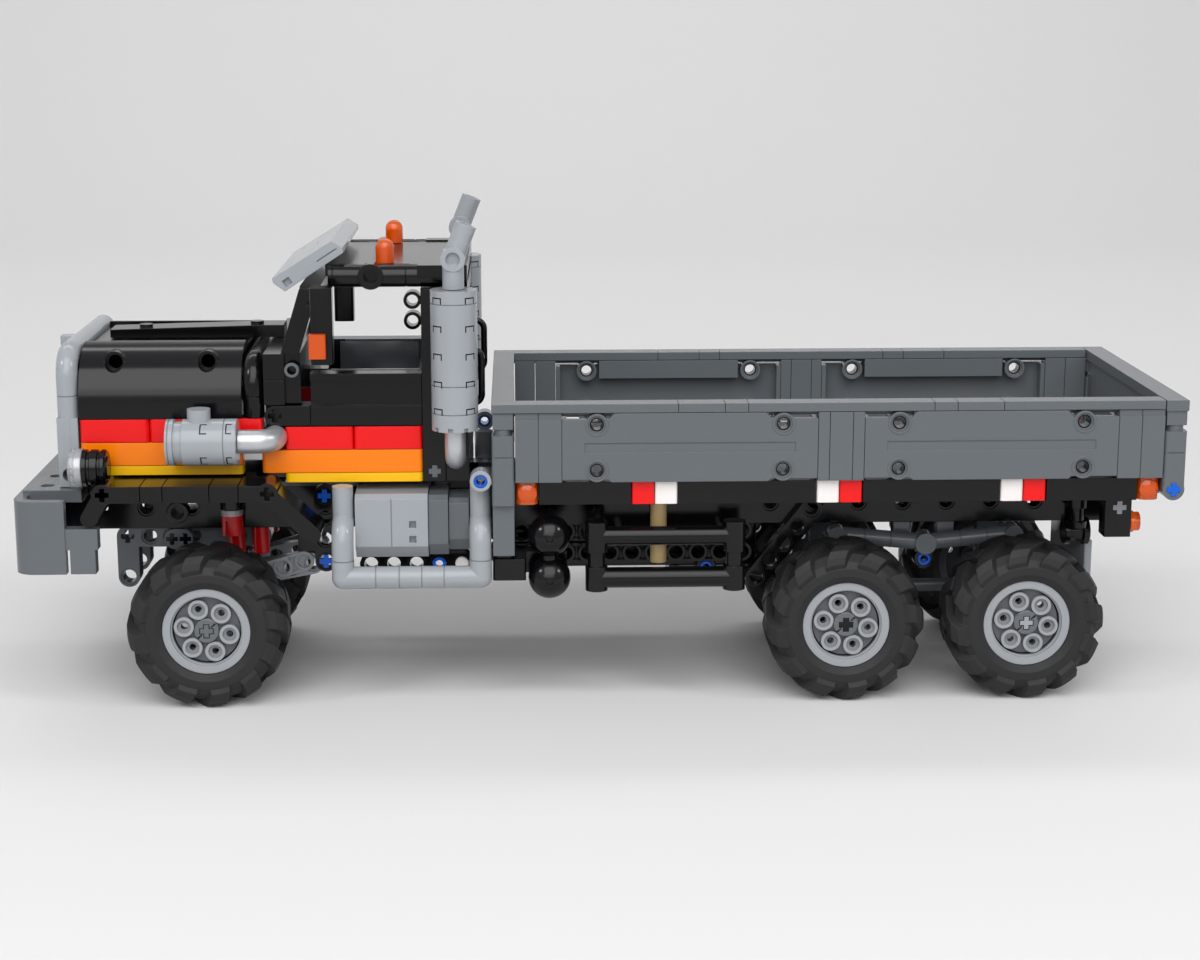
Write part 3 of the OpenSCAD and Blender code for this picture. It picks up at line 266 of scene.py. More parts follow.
shaded_wheel_finish = wheel_plastic_with_painted_shade()
for part in frame["record"]["subparts"]:
    mesh = frame["nodes"][part["node"]].data
    mesh.materials.clear()
    is_rim = part["node"].startswith("rim_")
    mesh.materials.append(shaded_wheel_finish if is_rim else finishes[part["material_slot"]])
print("finished CAD nodes", len(frame["nodes"]))

# %% [markdown]
# The trim is small: pin ends, axle ends, rings and thin marks, and a few helpers make
# nearly all of it. A turned shape spins a profile of radius and height round an axis, as
# on a lathe, which is how a mould for a round piece is cut. A cylinder could do for a
# plain pin, but a profile also takes its soft edge. Local Z always points out of the side
# that the piece sits on.

# %% Turned shapes
MERGE = 1e-7
SOFT_EDGE = 0.25
FACING = {
    "up": Matrix.Identity(4),
    "left": Matrix.Rotation(radians(90), 4, "X"),
    "front": Matrix.Rotation(radians(-90), 4, "Y"),
    "rear": Matrix.Rotation(radians(90), 4, "Y"),
}


def put(shape, place, facing):
    where = Matrix.Translation(Vector(place) * MM) @ FACING[facing]
    bmesh.ops.transform(shape, matrix=where, verts=shape.verts)
    return shape


def turned(profile, place, facing="left", steps=28, closed=False):
    shape = bmesh.new()
    line = [shape.verts.new((radius * MM, 0, height * MM)) for radius, height in profile]
    pairs = list(zip(line, line[1:])) + ([(line[-1], line[0])] if closed else [])
    edges = [shape.edges.new(pair) for pair in pairs]
    bmesh.ops.spin(shape, geom=line + edges, cent=(0, 0, 0), axis=(0, 0, 1), angle=2 * pi,
                   steps=steps, use_merge=True)
    bmesh.ops.remove_doubles(shape, verts=shape.verts, dist=MERGE)
    bmesh.ops.recalc_face_normals(shape, faces=shape.faces)
    return put(shape, place, facing)


def ring(outer, inner, low, high, place, facing="left"):
    shoulder = [(outer, high - SOFT_EDGE), (outer - SOFT_EDGE, high)]
    return turned([(inner, low), (outer, low), *shoulder, (inner, high)], place, facing, closed=True)


print("trim faces", ", ".join(FACING))

# %% [markdown]
# A pressed shape extrudes an outline, as a cookie cutter does. The cross-shaped axle is
# the toy's own sign: its outline is a quarter of three corners, turned four times.

# %% Pressed shapes
def pressed(outline, low, high, place, facing="left"):
    shape = bmesh.new()
    face = shape.faces.new([shape.verts.new((x * MM, y * MM, low * MM)) for x, y in outline])
    moved = bmesh.ops.extrude_face_region(shape, geom=[face])["geom"]
    top = [v for v in moved if isinstance(v, bmesh.types.BMVert)]
    bmesh.ops.translate(shape, verts=top, vec=(0, 0, (high - low) * MM))
    bmesh.ops.recalc_face_normals(shape, faces=shape.faces)
    return put(shape, place, facing)


def cross(place, facing="left", low=0.0, high=0.8, reach=2.35, arm=0.9):
    quarter = [(reach, -arm), (reach, arm), (arm, arm)]
    outline = []
    for c, s in ((1, 0), (0, 1), (-1, 0), (0, -1)):
        outline += [(x * c - y * s, x * s + y * c) for x, y in quarter]
    return pressed(outline, low, high, place, facing)


print("pressed shapes and crosses ready")

# %% [markdown]
# A block is a cube, scaled between two corners and bevelled, because no moulded edge is
# sharp. An arc is a small rectangle spun part of the way round, for strips that follow
# a round surface.

# %% Blocks and arcs
ARC_STEP = radians(4)


def block(low, high, edge=0.4):
    shape = bmesh.new()
    bmesh.ops.create_cube(shape, size=1)
    low, high = Vector(low) * MM, Vector(high) * MM
    bmesh.ops.scale(shape, vec=high - low, verts=shape.verts)
    bmesh.ops.translate(shape, vec=(low + high) / 2, verts=shape.verts)
    bmesh.ops.bevel(shape, geom=shape.edges[:], offset=edge * MM, offset_type="OFFSET", affect="EDGES",
                    segments=2, profile=0.5, material=-1)
    return shape


def arc(inner, outer, low, high, start, sweep):
    shape = bmesh.new()
    corners = [(inner, low), (outer, low), (outer, high), (inner, high)]
    line = [shape.verts.new((r * cos(start) * MM, r * sin(start) * MM, h * MM)) for r, h in corners]
    face = shape.faces.new(line)
    steps = max(1, round(sweep / ARC_STEP))
    bmesh.ops.spin(shape, geom=[face] + face.edges[:] + line, cent=(0, 0, 0), axis=(0, 0, 1), angle=sweep,
                   steps=steps, use_merge=False)
    bmesh.ops.remove_doubles(shape, verts=shape.verts, dist=MERGE)
    bmesh.ops.recalc_face_normals(shape, faces=shape.faces)
    return shape


print("blocks and arcs ready")

# %% [markdown]
# A finished piece is one mesh: the helper joins its shapes, mirrors them to the truck's
# right-hand side when both sides have one, merges doubles, turns the normals outwards,
# gives it a finish and hangs it on the body that carries it.

# %% Joining shapes into a piece
made = []
SHARP_FROM = radians(35)


def add_piece(name, shapes, finish, body="chassis", side="both"):
    whole = bmesh.new()
    for shape in shapes:
        scrap = bpy.data.meshes.new(name)
        shape.to_mesh(scrap)
        shape.free()
        whole.from_mesh(scrap)
        bpy.data.meshes.remove(scrap)
    if side == "right":
        bmesh.ops.scale(whole, vec=(1, -1, 1), verts=whole.verts)
    if side == "both":
        geometry = whole.verts[:] + whole.edges[:] + whole.faces[:]
        bmesh.ops.mirror(whole, geom=geometry, matrix=Matrix.Identity(4), merge_dist=MERGE, axis="Y")
    bmesh.ops.remove_doubles(whole, verts=whole.verts, dist=MERGE)
    bmesh.ops.recalc_face_normals(whole, faces=whole.faces)
    mesh = bpy.data.meshes.new(name)
    whole.to_mesh(mesh)
    whole.free()
    mesh.shade_smooth()
    mesh.set_sharp_from_angle(angle=SHARP_FROM)
    mesh.materials.append(finishes[finish])
    piece = bpy.data.objects.new(name, mesh)
    bpy.context.scene.collection.objects.link(piece)
    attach(piece, body)
    made.append(piece)
    return piece


# %% [markdown]
# Every wheel turns on a cross-shaped axle whose end shows in the hub. The three rows of wheels have axles of
# three colours, dark grey, black and light grey. Round each is a darker collar with two slots. The shade in
# the slots, in the room round the axle and in the seam round the wheel's face is painted: thin black pieces
# stand where there is only shade, since a real gap so narrow would catch light. All of it rides on the
# wheels, so it spins with them.

# %% Axle ends, hub collars and the painted shade round them
AXLE_COLOURS = {"front": "dark_grey_plastic", "mid": "black_plastic", "rear": "light_grey_plastic"}
HUB_FACE = WHEEL_LIP - 0.5
HUB_FOOT = HUB_FACE - 0.4
HUB_R, COLLAR_BORE, SLOT_FLOOR_R = 4.15, 0.9, 2.0
HUB_SLOT = radians(10)
SLOT_ENDS = [radians(turn) + HUB_SLOT / 2 for turn in (40, 220)]
SEAM_R, SEAM_BORE = 12.0, 11.5
SEAM_LOW, SEAM_HIGH = WHEEL_LIP - 4.3, WHEEL_LIP - 2.95


def hub_arcs(hub, inner, top, starts, sweep):
    return [put(arc(inner, HUB_R, HUB_FOOT, top, start, sweep), hub, "left") for start in starts]


for row, colour in AXLE_COLOURS.items():
    for side in ("left", "right"):
        low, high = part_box(f"rim_{row}_{side}")
        hub = ((low.x + high.x) / 2 / MM, 0, (low.z + high.z) / 2 / MM)
        wheel = f"wheel_{row}_{side}"
        end = cross(hub, low=HUB_FACE - 1.2, high=HUB_FACE + 0.2, reach=2.25, arm=0.8)
        add_piece(f"axle_end_{row}_{side}", [end], colour, wheel, side)
        collar = hub_arcs(hub, COLLAR_BORE, HUB_FACE + 0.12, SLOT_ENDS, pi - HUB_SLOT)
        add_piece(f"hub_collar_{row}_{side}", collar, "dark_grey_plastic", wheel, side)
        slot_starts = [slot_end - HUB_SLOT for slot_end in SLOT_ENDS]
        # painted shade: black pieces in the slot floors, round the axle and in the face seam
        gap_shade = hub_arcs(hub, SLOT_FLOOR_R, HUB_FACE + 0.05, slot_starts, HUB_SLOT)
        gap_shade.append(cross(hub, low=HUB_FOOT, high=HUB_FACE + 0.15, reach=2.55, arm=1.1))
        gap_shade.append(ring(SEAM_R, SEAM_BORE, SEAM_LOW, SEAM_HIGH, hub))
        add_piece(f"wheel_gap_shade_{row}_{side}", gap_shade, "black_plastic", wheel, side)
print("wheel trim", len(made))

# %% [markdown]
# The headlights are clear round plates on ribbed black drums. Behind the clear plate
# a bright dish throws the light forward, and two thin rings stand on the plate. All are
# turned about the lamp's own axis, because one profile gives the ribs and the dish.

# %% Headlight drums and dishes
low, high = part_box("headlight_lenses")
LAMP_R = (high.z - low.z) / 2 / MM
lamp = (high.x / MM, low.y / MM + LAMP_R, (low.z + high.z) / 2 / MM)
drum_r, waist_r = LAMP_R - 0.4, LAMP_R - 1.0
drum = [(0, 0.1), (drum_r, 0.1), (drum_r, 1.5), (waist_r, 1.8), (waist_r, 2.6), (drum_r, 2.9), (drum_r, 5.2),
        (waist_r, 5.5), (waist_r, 6.2), (drum_r, 6.5), (drum_r, 7.6), (drum_r - 0.6, 8.2), (0, 8.2)]
add_piece("headlight_drums", [turned(drum, lamp, "rear")], "black_plastic")
dish = [(0, -1.0), (2.2, -0.9), (4.4, -1.6), (5.4, -2.4), (5.7, -2.4), (5.7, -0.3), (0, -0.3)]
add_piece("headlight_dishes", [turned(dish, lamp, "rear")], "silver_plastic")
PLATE_FACE = 3.7
outer_ring = ring(LAMP_R - 0.3, LAMP_R - 1.0, PLATE_FACE, PLATE_FACE + 0.7, lamp, "front")
inner_ring = ring(2.4, 1.8, PLATE_FACE, PLATE_FACE + 0.5, lamp, "front")
add_piece("headlight_rims", [outer_ring, inner_ring], "clear_lens")
print("headlight radius", round(LAMP_R, 2))

# %% [markdown]
# Pins and axles come out of many holes. Coloured ends are the quickest way to tell a
# pin with friction from a plain one, so builders know them well: blue, grey and white.
# They could be painted on, but a real end stands a little proud and catches the light.

# %% Pin and axle ends along the sides
PIN_R = 2.35
ARM_X, ARM_FACE, ARM_ZS = -98.0, 28.0, (46.4, 70.4)
BEAM_FACE, BEAM_Z = 42.8, 48.8
BLUE_PIN_X, WHITE_PIN_X = -57.0, -49.0
POST_TOP = (-41.9, -52.4, 81.9)
REAR_AXLE_END, PILLAR_PIN, CAB_AXLE_END = (183.8, -44, 67.4), (-106.7, -44, 118.4), (-58, -44, 82.4)
blue = [cross((ARM_X, -ARM_FACE, z), low=-1.0, high=0.5) for z in ARM_ZS]
blue.append(ring(PIN_R, 1.3, -2.0, 0.1, (BLUE_PIN_X, -BEAM_FACE, BEAM_Z)))
blue.append(ring(2.4, 1.5, 0.2, 6.9, POST_TOP))
add_piece("blue_pins", blue, "blue_plastic")
pin_head = [(0, -2.0), (PIN_R, -2.0), (PIN_R, 0.0), (PIN_R - SOFT_EDGE, SOFT_EDGE), (0, SOFT_EDGE)]
add_piece("white_pins", [turned(pin_head, (WHITE_PIN_X, -BEAM_FACE, BEAM_Z))], "white_plastic")
grey = [ring(3.7, 2.4, 0.0, 7.2, POST_TOP), cross(REAR_AXLE_END, low=-0.8, high=0.5)]
add_piece("grey_pins", grey, "light_grey_plastic")
dark = [ring(2.6, 1.6, -0.3, 0.8, PILLAR_PIN), cross(CAB_AXLE_END, low=-0.5, high=0.3, reach=2.1)]
add_piece("dark_pins", dark, "dark_grey_plastic")
print("pin colours", [piece.name for piece in made[-4:]])

# %% [markdown]
# The tailgate turns on two axles, and their blue ends show at its lower corners. They hang
# on the tailgate's own body, so they swing with it.

# %% The tailgate's axle ends
low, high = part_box("tailgate")
HINGE_X, HINGE_Z = 198.0, 77.2
hinge_end = (HINGE_X, low.y / MM, HINGE_Z)
add_piece("tailgate_axle_ends", [cross(hinge_end, low=-0.8, high=0.4)], "blue_plastic", "tailgate")
print("hinge end", [round(v, 1) for v in hinge_end])

# %% [markdown]
# The mufflers and the air filter are stacks of round bricks. Each brick has four slots
# at its rim, which show as small brackets round the seams. A short edge spun
# through a few degrees gives a strip that follows the round surface exactly.

# %% Bracket marks on the round bricks
MARK, PROUD, SUNK = 0.42, 0.05, 0.1
MARK_TURNS, MARK_SPAN = (45, 135, 225, 315), radians(30)


def strip(radius, low, high, start, sweep):
    return arc(radius - SUNK, radius + PROUD, low, high, start, sweep)


def brackets(radius, seam, height, centre_angle, width):
    start = centre_angle - width / 2
    thin = MARK / radius
    low, high = sorted((seam, seam + height))
    end = high if height > 0 else low
    return [strip(radius, end - MARK / 2, end + MARK / 2, start, width),
            strip(radius, low, high, start, thin), strip(radius, low, high, start + width - thin, thin)]


def stack_marks(radius, rows, place, facing):
    marks = []
    for seam, height in rows:
        for turn in MARK_TURNS:
            marks += brackets(radius, seam, height, radians(turn), MARK_SPAN)
    return [put(mark, place, facing) for mark in marks]


low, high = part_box("exhaust_mufflers")
MUFFLER_R = (high.x - low.x) / 2 / MM
muffler = ((low.x + high.x) / 2 / MM, low.y / MM + MUFFLER_R, 0)
top = high.z / MM
SLOT_HEIGHT, SLOT_DROPS = 2.0, (2.3, 11.9, 21.4, 30.9, 40.3)
rows = [(top - drop - SLOT_HEIGHT, SLOT_HEIGHT) for drop in SLOT_DROPS]
marks = stack_marks(MUFFLER_R, rows, muffler, "up")
low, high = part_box("air_filters")
FILTER_R, FILTER_ROWS = 8.0, [(14.2, -2.2), (22.6, -1.8)]
filter_end = (low.x / MM, low.y / MM + FILTER_R, low.z / MM + FILTER_R)
marks += stack_marks(FILTER_R, FILTER_ROWS, filter_end, "rear")
print("strips on one side", len(marks))
add_piece("round_brick_marks", marks, "black_plastic")

# %% [markdown]
# Under the front of the bed sits the gearbox, which the guard bars half hide. The box is
# built of pierced beams on a solid core. A beam could be a block with holes cut out, but a
# row of true rings with webs between them keeps the pin holes open and clean.

# %% Gearbox under the bed
PITCH = 8.0
BEAM_R, HOLE_R, WEB, BEAM_WALL = 3.7, 2.45, 2.6, 2.5
WEB_RECESS, WALL_RECESS = 0.9, 0.15


def pierced_beam(count, place, thickness=7.4):
    start, y, z = place
    shapes = [ring(BEAM_R, HOLE_R, 0, thickness, (start + PITCH * i, y, z)) for i in range(count)]
    for i in range(count - 1):
        x, back = start + PITCH * i, y - thickness
        web = (x + WEB, back + WEB_RECESS, z - WEB), (x + PITCH - WEB, y - WEB_RECESS, z + WEB)
        shapes.append(block(*web, edge=0.2))
        for side in (-1, 1):
            z0, z1 = sorted((z + side * BEAM_WALL, z + side * BEAM_R))
            shapes.append(block((x, back + WALL_RECESS, z0), (x + PITCH, y - WALL_RECESS, z1), edge=0.2))
    return shapes


BEAM_START, BEAM_Y, BEAM_ZS, BEAM_HOLES = -36, -16, (47.4, 55.4), 12
LOW_PIN = (39.0, -23.4, 41.5)
box_core = block((-38, -15.4, 40), (58, 0, 57.4), edge=1.6)
sump = block((26, -15.8, 34), (52, 0, 41), edge=1.2)
gearbox = [box_core, sump]
for z in BEAM_ZS:
    gearbox += pierced_beam(BEAM_HOLES, (BEAM_START, BEAM_Y, z))
gearbox.append(ring(BEAM_R, HOLE_R, -8.0, -0.4, LOW_PIN))
add_piece("gearbox", gearbox, "black_plastic")
add_piece("gearbox_pins", [ring(2.4, 1.4, -7.0, 0.0, LOW_PIN)], "blue_plastic")
print("gearbox faces", len(made[-2].data.polygons))

# %% [markdown]
# A jointed shaft runs down from the gearbox to the middle axle. It is turned standing up,
# with a thick joint at either end, and then aimed along its run.

# %% Output shaft
SHAFT_START, SHAFT_END = Vector((50, 0, 37)), Vector((78, 0, 31))
JOINT_R, TUBE_R, JOINT, NECK = 4.2, 2.6, 6, 7
run = (SHAFT_END - SHAFT_START).length
half = [(0, 0), (JOINT_R, 0), (JOINT_R, JOINT), (TUBE_R, NECK)]
profile = half + [(radius, run - height) for radius, height in reversed(half)]
shaft = turned(profile, (0, 0, 0), "up")
aim = (SHAFT_END - SHAFT_START).to_track_quat("Z", "Y").to_matrix().to_4x4()
bmesh.ops.transform(shaft, matrix=Matrix.Translation(SHAFT_START * MM) @ aim, verts=shaft.verts)
add_piece("output_shaft", [shaft], "black_plastic", side="left")
print("shaft length", round(run, 1), "pieces so far", len(made))

# %% [markdown]
# The front axle carries an oval connector with two axle holes, and a round connector sits on the frame rail
# above it. The shade in the holes is painted: dark crosses laid just proud of the face, because cut holes so
# shallow would only be seen as dark crosses too.

# %% Connectors on the front axle
def oval(half_length, half_height, steps=10):
    reach = half_length - half_height
    outline = []
    for end, start in ((1, -90), (-1, 90)):
        for step in range(steps + 1):
            turn = radians(start + 180 * step / steps)
            outline.append((end * reach + half_height * cos(turn), half_height * sin(turn)))
    return outline


OVAL_X, OVAL_Y, OVAL_Z = -151.4, -16.4, 53.2
OVAL_DEPTH, OVAL_HOLES = 4.2, (-2.4, 2.4)
ROUND_CONNECTOR = (-150.2, -23.9, 64.7)
face = pressed(oval(5.2, 3.7), 0, OVAL_DEPTH, (OVAL_X, OVAL_Y, OVAL_Z))
add_piece("oval_connector", [face], "dark_grey_plastic")
holes = []
for along in OVAL_HOLES:
    place = (OVAL_X + along, OVAL_Y, OVAL_Z)
    # painted shade: a black cross stands for each axle hole
    holes.append(cross(place, low=OVAL_DEPTH - 0.2, high=OVAL_DEPTH + 0.05, reach=2.1, arm=0.8))
holes.append(ring(3.9, 2.3, 0, 5.0, ROUND_CONNECTOR))
add_piece("oval_hole_shade_and_round_connector", holes, "black_plastic")
print("connectors", [piece.name for piece in made[-2:]])

# %% [markdown]
# A shock absorber's top is a threaded silver sleeve under a black cap. The thread is
# worked as four plain ridges: a true helix would look no different at this size. Two thin
# red shock absorbers and the pierced faces of the links stand further in, clear of
# the steered tyres.

# %% Shock absorbers and link faces
low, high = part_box("shock_absorbers")
SHOCK_R = 3.8
shock = ((low.x + high.x) / 2 / MM, low.y / MM + SHOCK_R, 0)
RIDGE_R, GROOVE_R, SLEEVE_R, RIDGE_PITCH, RIDGES = 4.05, 3.8, 3.0, 0.5, 4
THREAD_LOW, THREAD_HIGH, CAP_TOP = 63.8, 65.8, 72.3
thread = [(SLEEVE_R, THREAD_LOW - 0.1)]
for turn in range(RIDGES):
    ridge = THREAD_LOW + RIDGE_PITCH * turn
    thread += [(RIDGE_R, ridge), (GROOVE_R, ridge + RIDGE_PITCH / 2)]
thread += [(RIDGE_R, THREAD_HIGH), (SLEEVE_R, THREAD_HIGH + 0.1)]
add_piece("shock_threads", [turned(thread, shock, "up")], "silver_plastic")
cap_low = THREAD_HIGH + 0.1
cap = [(0, cap_low), (4.1, cap_low), (4.1, CAP_TOP - 0.7), (3.6, CAP_TOP), (0, CAP_TOP)]
add_piece("shock_caps", [turned(cap, shock, "up")], "black_plastic")
INNER_XS, INNER_Y, INNER_LOW, INNER_HIGH = (-131.0, -122.3), -16.4, 47.0, 60.0
inner = [(0, INNER_LOW), (2.8, INNER_LOW), (3.1, INNER_LOW + 0.4), (3.1, INNER_HIGH - 0.4),
         (2.8, INNER_HIGH), (0, INNER_HIGH)]
add_piece("inner_shocks", [turned(inner, (x, INNER_Y, 0), "up") for x in INNER_XS], "dark_red_plastic")
LINK_END, LINK_TURN = Vector((-122.3, -14.6, 38.9)), radians(-16.8)
link = pierced_beam(3, (0, 0, 0), thickness=2.2)
swing = Matrix.Translation(LINK_END * MM) @ Matrix.Rotation(LINK_TURN, 4, "Y")
for shape in link:
    bmesh.ops.transform(shape, matrix=swing, verts=shape.verts)
add_piece("link_arms", link, "light_grey_plastic")
print("shock absorber trim", [piece.name for piece in made[-4:]])

# %% [markdown]
# Above the rear axle lies a light grey gear on an upright shaft. Its teeth are
# one small block, copied round the disc.

# %% Gear over the rear axle
GEAR = (153.0, 0, 54.2)
GEAR_R, GEAR_DEPTH, TEETH = 9.0, 1.9, 24
TOOTH_LOW, TOOTH_HIGH = (GEAR_R - 0.4, -0.55, 0), (GEAR_R + 1.7, 0.55, GEAR_DEPTH)
gear = [ring(GEAR_R, 2.5, 0, GEAR_DEPTH, GEAR, "up")]
for tooth in range(TEETH):
    shape = block(TOOTH_LOW, TOOTH_HIGH, edge=0.15)
    turn = Matrix.Rotation(2 * pi * tooth / TEETH, 4, "Z")
    bmesh.ops.transform(shape, matrix=turn, verts=shape.verts)
    gear.append(put(shape, GEAR, "up"))
add_piece("rear_gear", gear, "light_grey_plastic", side="left")
post = [(0, -18), (2.4, -18), (2.4, 2.6), (2.0, 3.0), (0, 3.0)]
add_piece("rear_gear_shaft", [turned(post, GEAR, "up")], "dark_grey_plastic", side="left")
print("gear teeth", TEETH)

# %% [markdown]
# Between the rear wheels a blue pin in a black sleeve hangs under each bogie beam. Behind
# the wheels a black spool on either side holds a light grey plate across the frame's end.

# %% Bogie pins, rear spools and plate
BOGIE_PIN = (117.7, -28.0, 45.1)
add_piece("bogie_pins", [ring(2.4, 1.4, -5.0, 0.2, BOGIE_PIN)], "blue_plastic")
add_piece("bogie_sleeves", [ring(3.7, 2.35, -6.0, -0.3, BOGIE_PIN)], "black_plastic")
SPOOL = (168.8, -24.0, 54.2)
FLANGE_R, WAIST_R, SPOOL_LENGTH = 4.9, 3.6, 9.2
flange = [(0, 0), (FLANGE_R - 0.3, 0), (FLANGE_R, 0.3), (FLANGE_R, 2.2), (WAIST_R, 2.6)]
spool = flange + [(radius, SPOOL_LENGTH - height) for radius, height in reversed(flange)]
add_piece("rear_spools", [turned(spool, SPOOL, "rear")], "black_plastic")
plate = block((176.6, -26, 36.5), (179.4, 26, 51.0), edge=0.4)
add_piece("rear_plate", [plate], "light_grey_plastic", side="left")
print("rear trim", [piece.name for piece in made[-4:]])

# %% [markdown]
# The bed's corner markers are see-through plates with a round lens on them, and a darker
# core shows through it. The roof beacons have such a core too. Without the cores the amber
# would look empty, since see-through plastic gets its depth from what stands behind it.

# %% Corner lenses and amber cores
low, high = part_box("bed_beams")
MARKER_FACE, MARKER_Z = low.y / MM, (low.z + high.z) / 2 / MM
MARKER_REACH = 4
markers = [(x, MARKER_FACE, MARKER_Z) for x in (low.x / MM - MARKER_REACH, high.x / MM + MARKER_REACH)]
dome = [(0, 0.95), (1.4, 0.85), (2.5, 0.5), (3.3, 0.1), (3.3, -0.2), (0, -0.2)]
add_piece("marker_lenses", [turned(dome, marker) for marker in markers], "amber_clear")
cores = [ring(2.3, 1.2, -0.9, -0.05, marker) for marker in markers]
add_piece("marker_cores", cores, "amber_core")
low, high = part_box("rim_front_left")
BEACON_BACK, BEACON_Y, BEACON_Z = 63.4, -32.0, 154.2
beacon = ((low.x + high.x) / 2 / MM + BEACON_BACK, BEACON_Y, BEACON_Z)
core = [(0, 0), (1.7, 0), (1.7, 3.6), (1.2, 4.6), (0, 4.8)]
add_piece("beacon_cores", [turned(core, beacon, "up")], "amber_core")
print("beacon", [round(v, 1) for v in beacon])

# %% [markdown]
# The low ends of the side panels leave a slot under the rim, which the real bed closes with a strip behind
# it, so the light doesn't leak through. The shade deep in the panels' pin holes is painted: each hole is
# lined with a black tube, though the real bore is the panel's own grey, because a look into a deep hole is
# dark.

# %% Strips of the bed panels and the painted shade in their pin holes
low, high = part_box("bed_side_left")
STRIP_DEPTH, STRIP_WALL, STRIP_END = 3.5, 1.2, 2
STRIP_LOW, STRIP_HIGH = 104.0, 105.6
strip_y = low.y / MM + STRIP_DEPTH
slot_low = (low.x / MM + STRIP_END, strip_y, STRIP_LOW)
slot_high = (high.x / MM - STRIP_END, strip_y + STRIP_WALL, STRIP_HIGH)
add_piece("panel_strips", [block(slot_low, slot_high, edge=0.2)], "dark_grey_plastic")
PANEL_HOLE_XS, PANEL_HOLE_ZS = (-2.0, 62.0, 102.0, 166.0), (85.4, 101.4)
# painted shade: a black tube lines each pin hole
bore_shade = [ring(2.5, 1.95, -6.6, -1.2, (x, low.y / MM, z)) for x in PANEL_HOLE_XS for z in PANEL_HOLE_ZS]
print("bores on one side", len(bore_shade))
add_piece("panel_bore_shade", bore_shade, "black_plastic")

# %% [markdown]
# Through the open window the inside of the far door shows as a dark grey card, and two
# ring-ended arms stand by the far rear pillar, held by a short bar.

# %% Door cards and window rings
CARD_FACE, CARD_DEPTH = 33.4, 0.5
card = block((-96, -CARD_FACE - CARD_DEPTH, 102), (-66, -CARD_FACE, 116.6), edge=0.2)
add_piece("door_cards", [card], "dark_grey_plastic")
ARM_RING_X, ARM_RING_Y, ARM_RING_ZS = -68, -28, (125.5, 133.2)
arms = [ring(3.3, 2.1, -3.6, 3.6, (ARM_RING_X, ARM_RING_Y, z)) for z in ARM_RING_ZS]
arms += [block((-65.4, -31, z - 1.6), (-54, -25, z + 1.6)) for z in ARM_RING_ZS]
add_piece("window_rings", arms, "black_plastic", side="right")
print("pieces", len(made), "faces", sum(len(piece.data.polygons) for piece in made))

# %% [markdown]
# The studio is a pale paper sweep: a floor that curves up into a wall, so no horizon shows.
# One line of edges, extruded sideways, makes it, as a roll of paper is pulled off.

# %% Floor and backdrop
FLOOR_FRONT, FLOOR_BACK, WALL_TOP = -3.2, 1.4, 2.6
BEND_R, BEND_STEPS = 0.9, 12
HALF_WIDTH = 4


def make_sweep():
    shape = bmesh.new()
    points = [(FLOOR_FRONT, 0), (FLOOR_BACK, 0)]
    for step in range(1, BEND_STEPS + 1):
        turn = radians(90 * step / BEND_STEPS)
        points.append((FLOOR_BACK + BEND_R * sin(turn), BEND_R - BEND_R * cos(turn)))
    points.append((FLOOR_BACK + BEND_R, WALL_TOP))
    line = [shape.verts.new((-HALF_WIDTH, y, z)) for y, z in points]
    edges = [shape.edges.new(pair) for pair in zip(line, line[1:])]
    swept = bmesh.ops.extrude_edge_only(shape, edges=edges)["geom"]
    far_side = [v for v in swept if isinstance(v, bmesh.types.BMVert)]
    bmesh.ops.translate(shape, verts=far_side, vec=(2 * HALF_WIDTH, 0, 0))
    bmesh.ops.recalc_face_normals(shape, faces=shape.faces)
    mesh = bpy.data.meshes.new("studio sweep")
    shape.to_mesh(mesh)
    shape.free()
    mesh.shade_smooth()
    sweep = bpy.data.objects.new("studio_sweep", mesh)
    bpy.context.scene.collection.objects.link(sweep)
    sweep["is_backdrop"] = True
    return sweep


sweep = make_sweep()
print("sweep faces", len(sweep.data.polygons))

# %% [markdown]
# The paper's colour is a little darker towards the viewer: a painted shade for the edge of a lamp's light,
# which keeps the glossy black bricks deep. Far off, where no lamp reaches, it fades into pale air. A Light
# Path node shows that glow to the camera, to reflections and through lenses, and to nothing else, so the
# light on the truck stays plain.

# %% The studio's paper, with painted shade towards the viewer
NEAR_PAPER_SHADE, FAR_PAPER, PALE_AIR = (170, 169, 170), (224, 223, 223), (186, 185, 186)
NEAR_Y, FAR_Y = -0.8, -0.28
AIR_STARTS, AIR_FULL = -0.9, -1.7
SIDE_AIR_STARTS, SIDE_AIR_FULL = 1.1, 2.2


def seen_rays(tree):
    path = tree.nodes.new("ShaderNodeLightPath").outputs
    mirrored = maths(tree, "MAXIMUM", path["Is Glossy Ray"], path["Is Transmission Ray"])
    return maths(tree, "MAXIMUM", path["Is Camera Ray"], mirrored)


